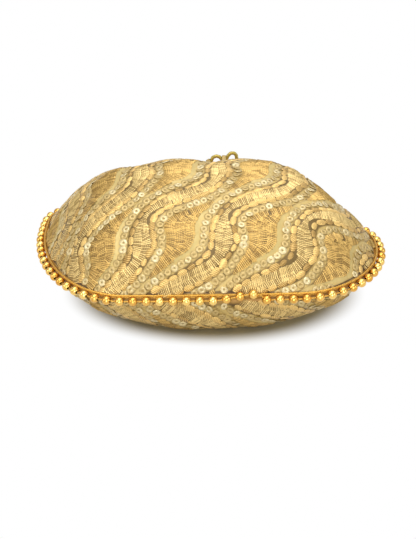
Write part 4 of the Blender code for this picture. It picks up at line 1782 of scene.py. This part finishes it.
def add_panels(shape: BagShape, offset: np.ndarray, stamps: Stamps, ground: Material) -> None:
    """Adds the two cloth panels with their linings and their embroidery."""
    satin = Satin().build()
    # few sequins get the bright colour, as painted glints; the dull one is the sequins' own colour
    sequin = Plate("silver_gold_sequin", "#E3D7AE", "#B79E66", 0.42, metallic=0.45, dull_share=0.4).build()
    cell_silk = Thread(
        "satin_stitch", "#DFBB72", "#85622A", 2.5 * MM, ridge_shading=0.6, twist=5400.0, bump=1.0
    ).build()
    fill_silk = Thread("fill_thread", "#E2C582", "#8C6E38", 1.1 * MM, twist=2500.0).build()
    leaf_silk = Thread("leaf_thread", "#D2AD62", "#80602C", 1.1 * MM, twist=2500.0).build()
    pattern = WavePattern()
    for face in Face:
        panel = Panel(shape, pattern, face, offset)
        name = f"{face.value}_cloth"
        cloth = thickened(make_piece(name, panel.sheet_mesh(name), ground), shape.cloth)
        settle(cloth, "embroidered_cloth", f"{face.value}_panel")
        lining = lining_piece(panel, satin)
        settle(lining, "satin_lining", f"{face.value}_lining")
        work = Embroidery(panel, stamps)
        sewn = [
            work.sequins(sequin), work.cells(cell_silk), work.leaf_fill(leaf_silk), work.band_fill(fill_silk)
        ]
        for piece in sewn:
            settle(piece, "embroidered_cloth")


def add_trim(trim: Trim, stamps: Stamps) -> None:
    """Adds the beads with their thread, and the two gold cords."""
    gold = Plate("gold_plate", "#FBD67E", "#DFA446", 0.26).build()
    silk = Thread("gold_gimp", "#EBB955", "#96651C", 0.6 * MM, metallic=0.75, roughness=0.3).build()
    beads = trim.beads(stamps, gold, Hole().build())
    settle(beads[0], "gold_beads", "bead_strand")
    for piece in beads[1:]:
        settle(piece, "gold_beads")
    settle(trim.thread(silk), "gold_piping")
    settle(trim.piping("piping", trim.piping_lean, silk), "gold_piping", "seam_piping")
    settle(trim.piping("couching", trim.couching_lean, silk), "gold_piping")


def main() -> None:
    """Builds the bag's looks around the frame."""
    logging.basicConfig(level=logging.INFO, format="%(message)s")
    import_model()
    shape = BagShape()
    panel_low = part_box("front_panel")[0]
    loop_low, loop_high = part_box("drawstring_carrier_04")
    offset = np.array([(loop_low[0] + loop_high[0]) / 2 - shape.neck_side, panel_low[1] - shape.inset, 0.0])

    studio = Studio(offset)
    studio.camera()
    studio.lights()
    studio.floor()

    drawstring = Drawstring(shape, offset)
    add_drawstring(drawstring)
    ground = Ground().build()
    stamps = Stamps()
    add_panels(shape, offset, stamps, ground)
    add_trim(Trim(shape, offset), stamps)
    for number, loop in enumerate(drawstring.loops(ground), 1):
        settle(loop, "embroidered_cloth", f"drawstring_carrier_{number:02d}")

    bpy.context.scene.view_settings.view_transform = "Standard"


if __name__ == "__main__":
    main()
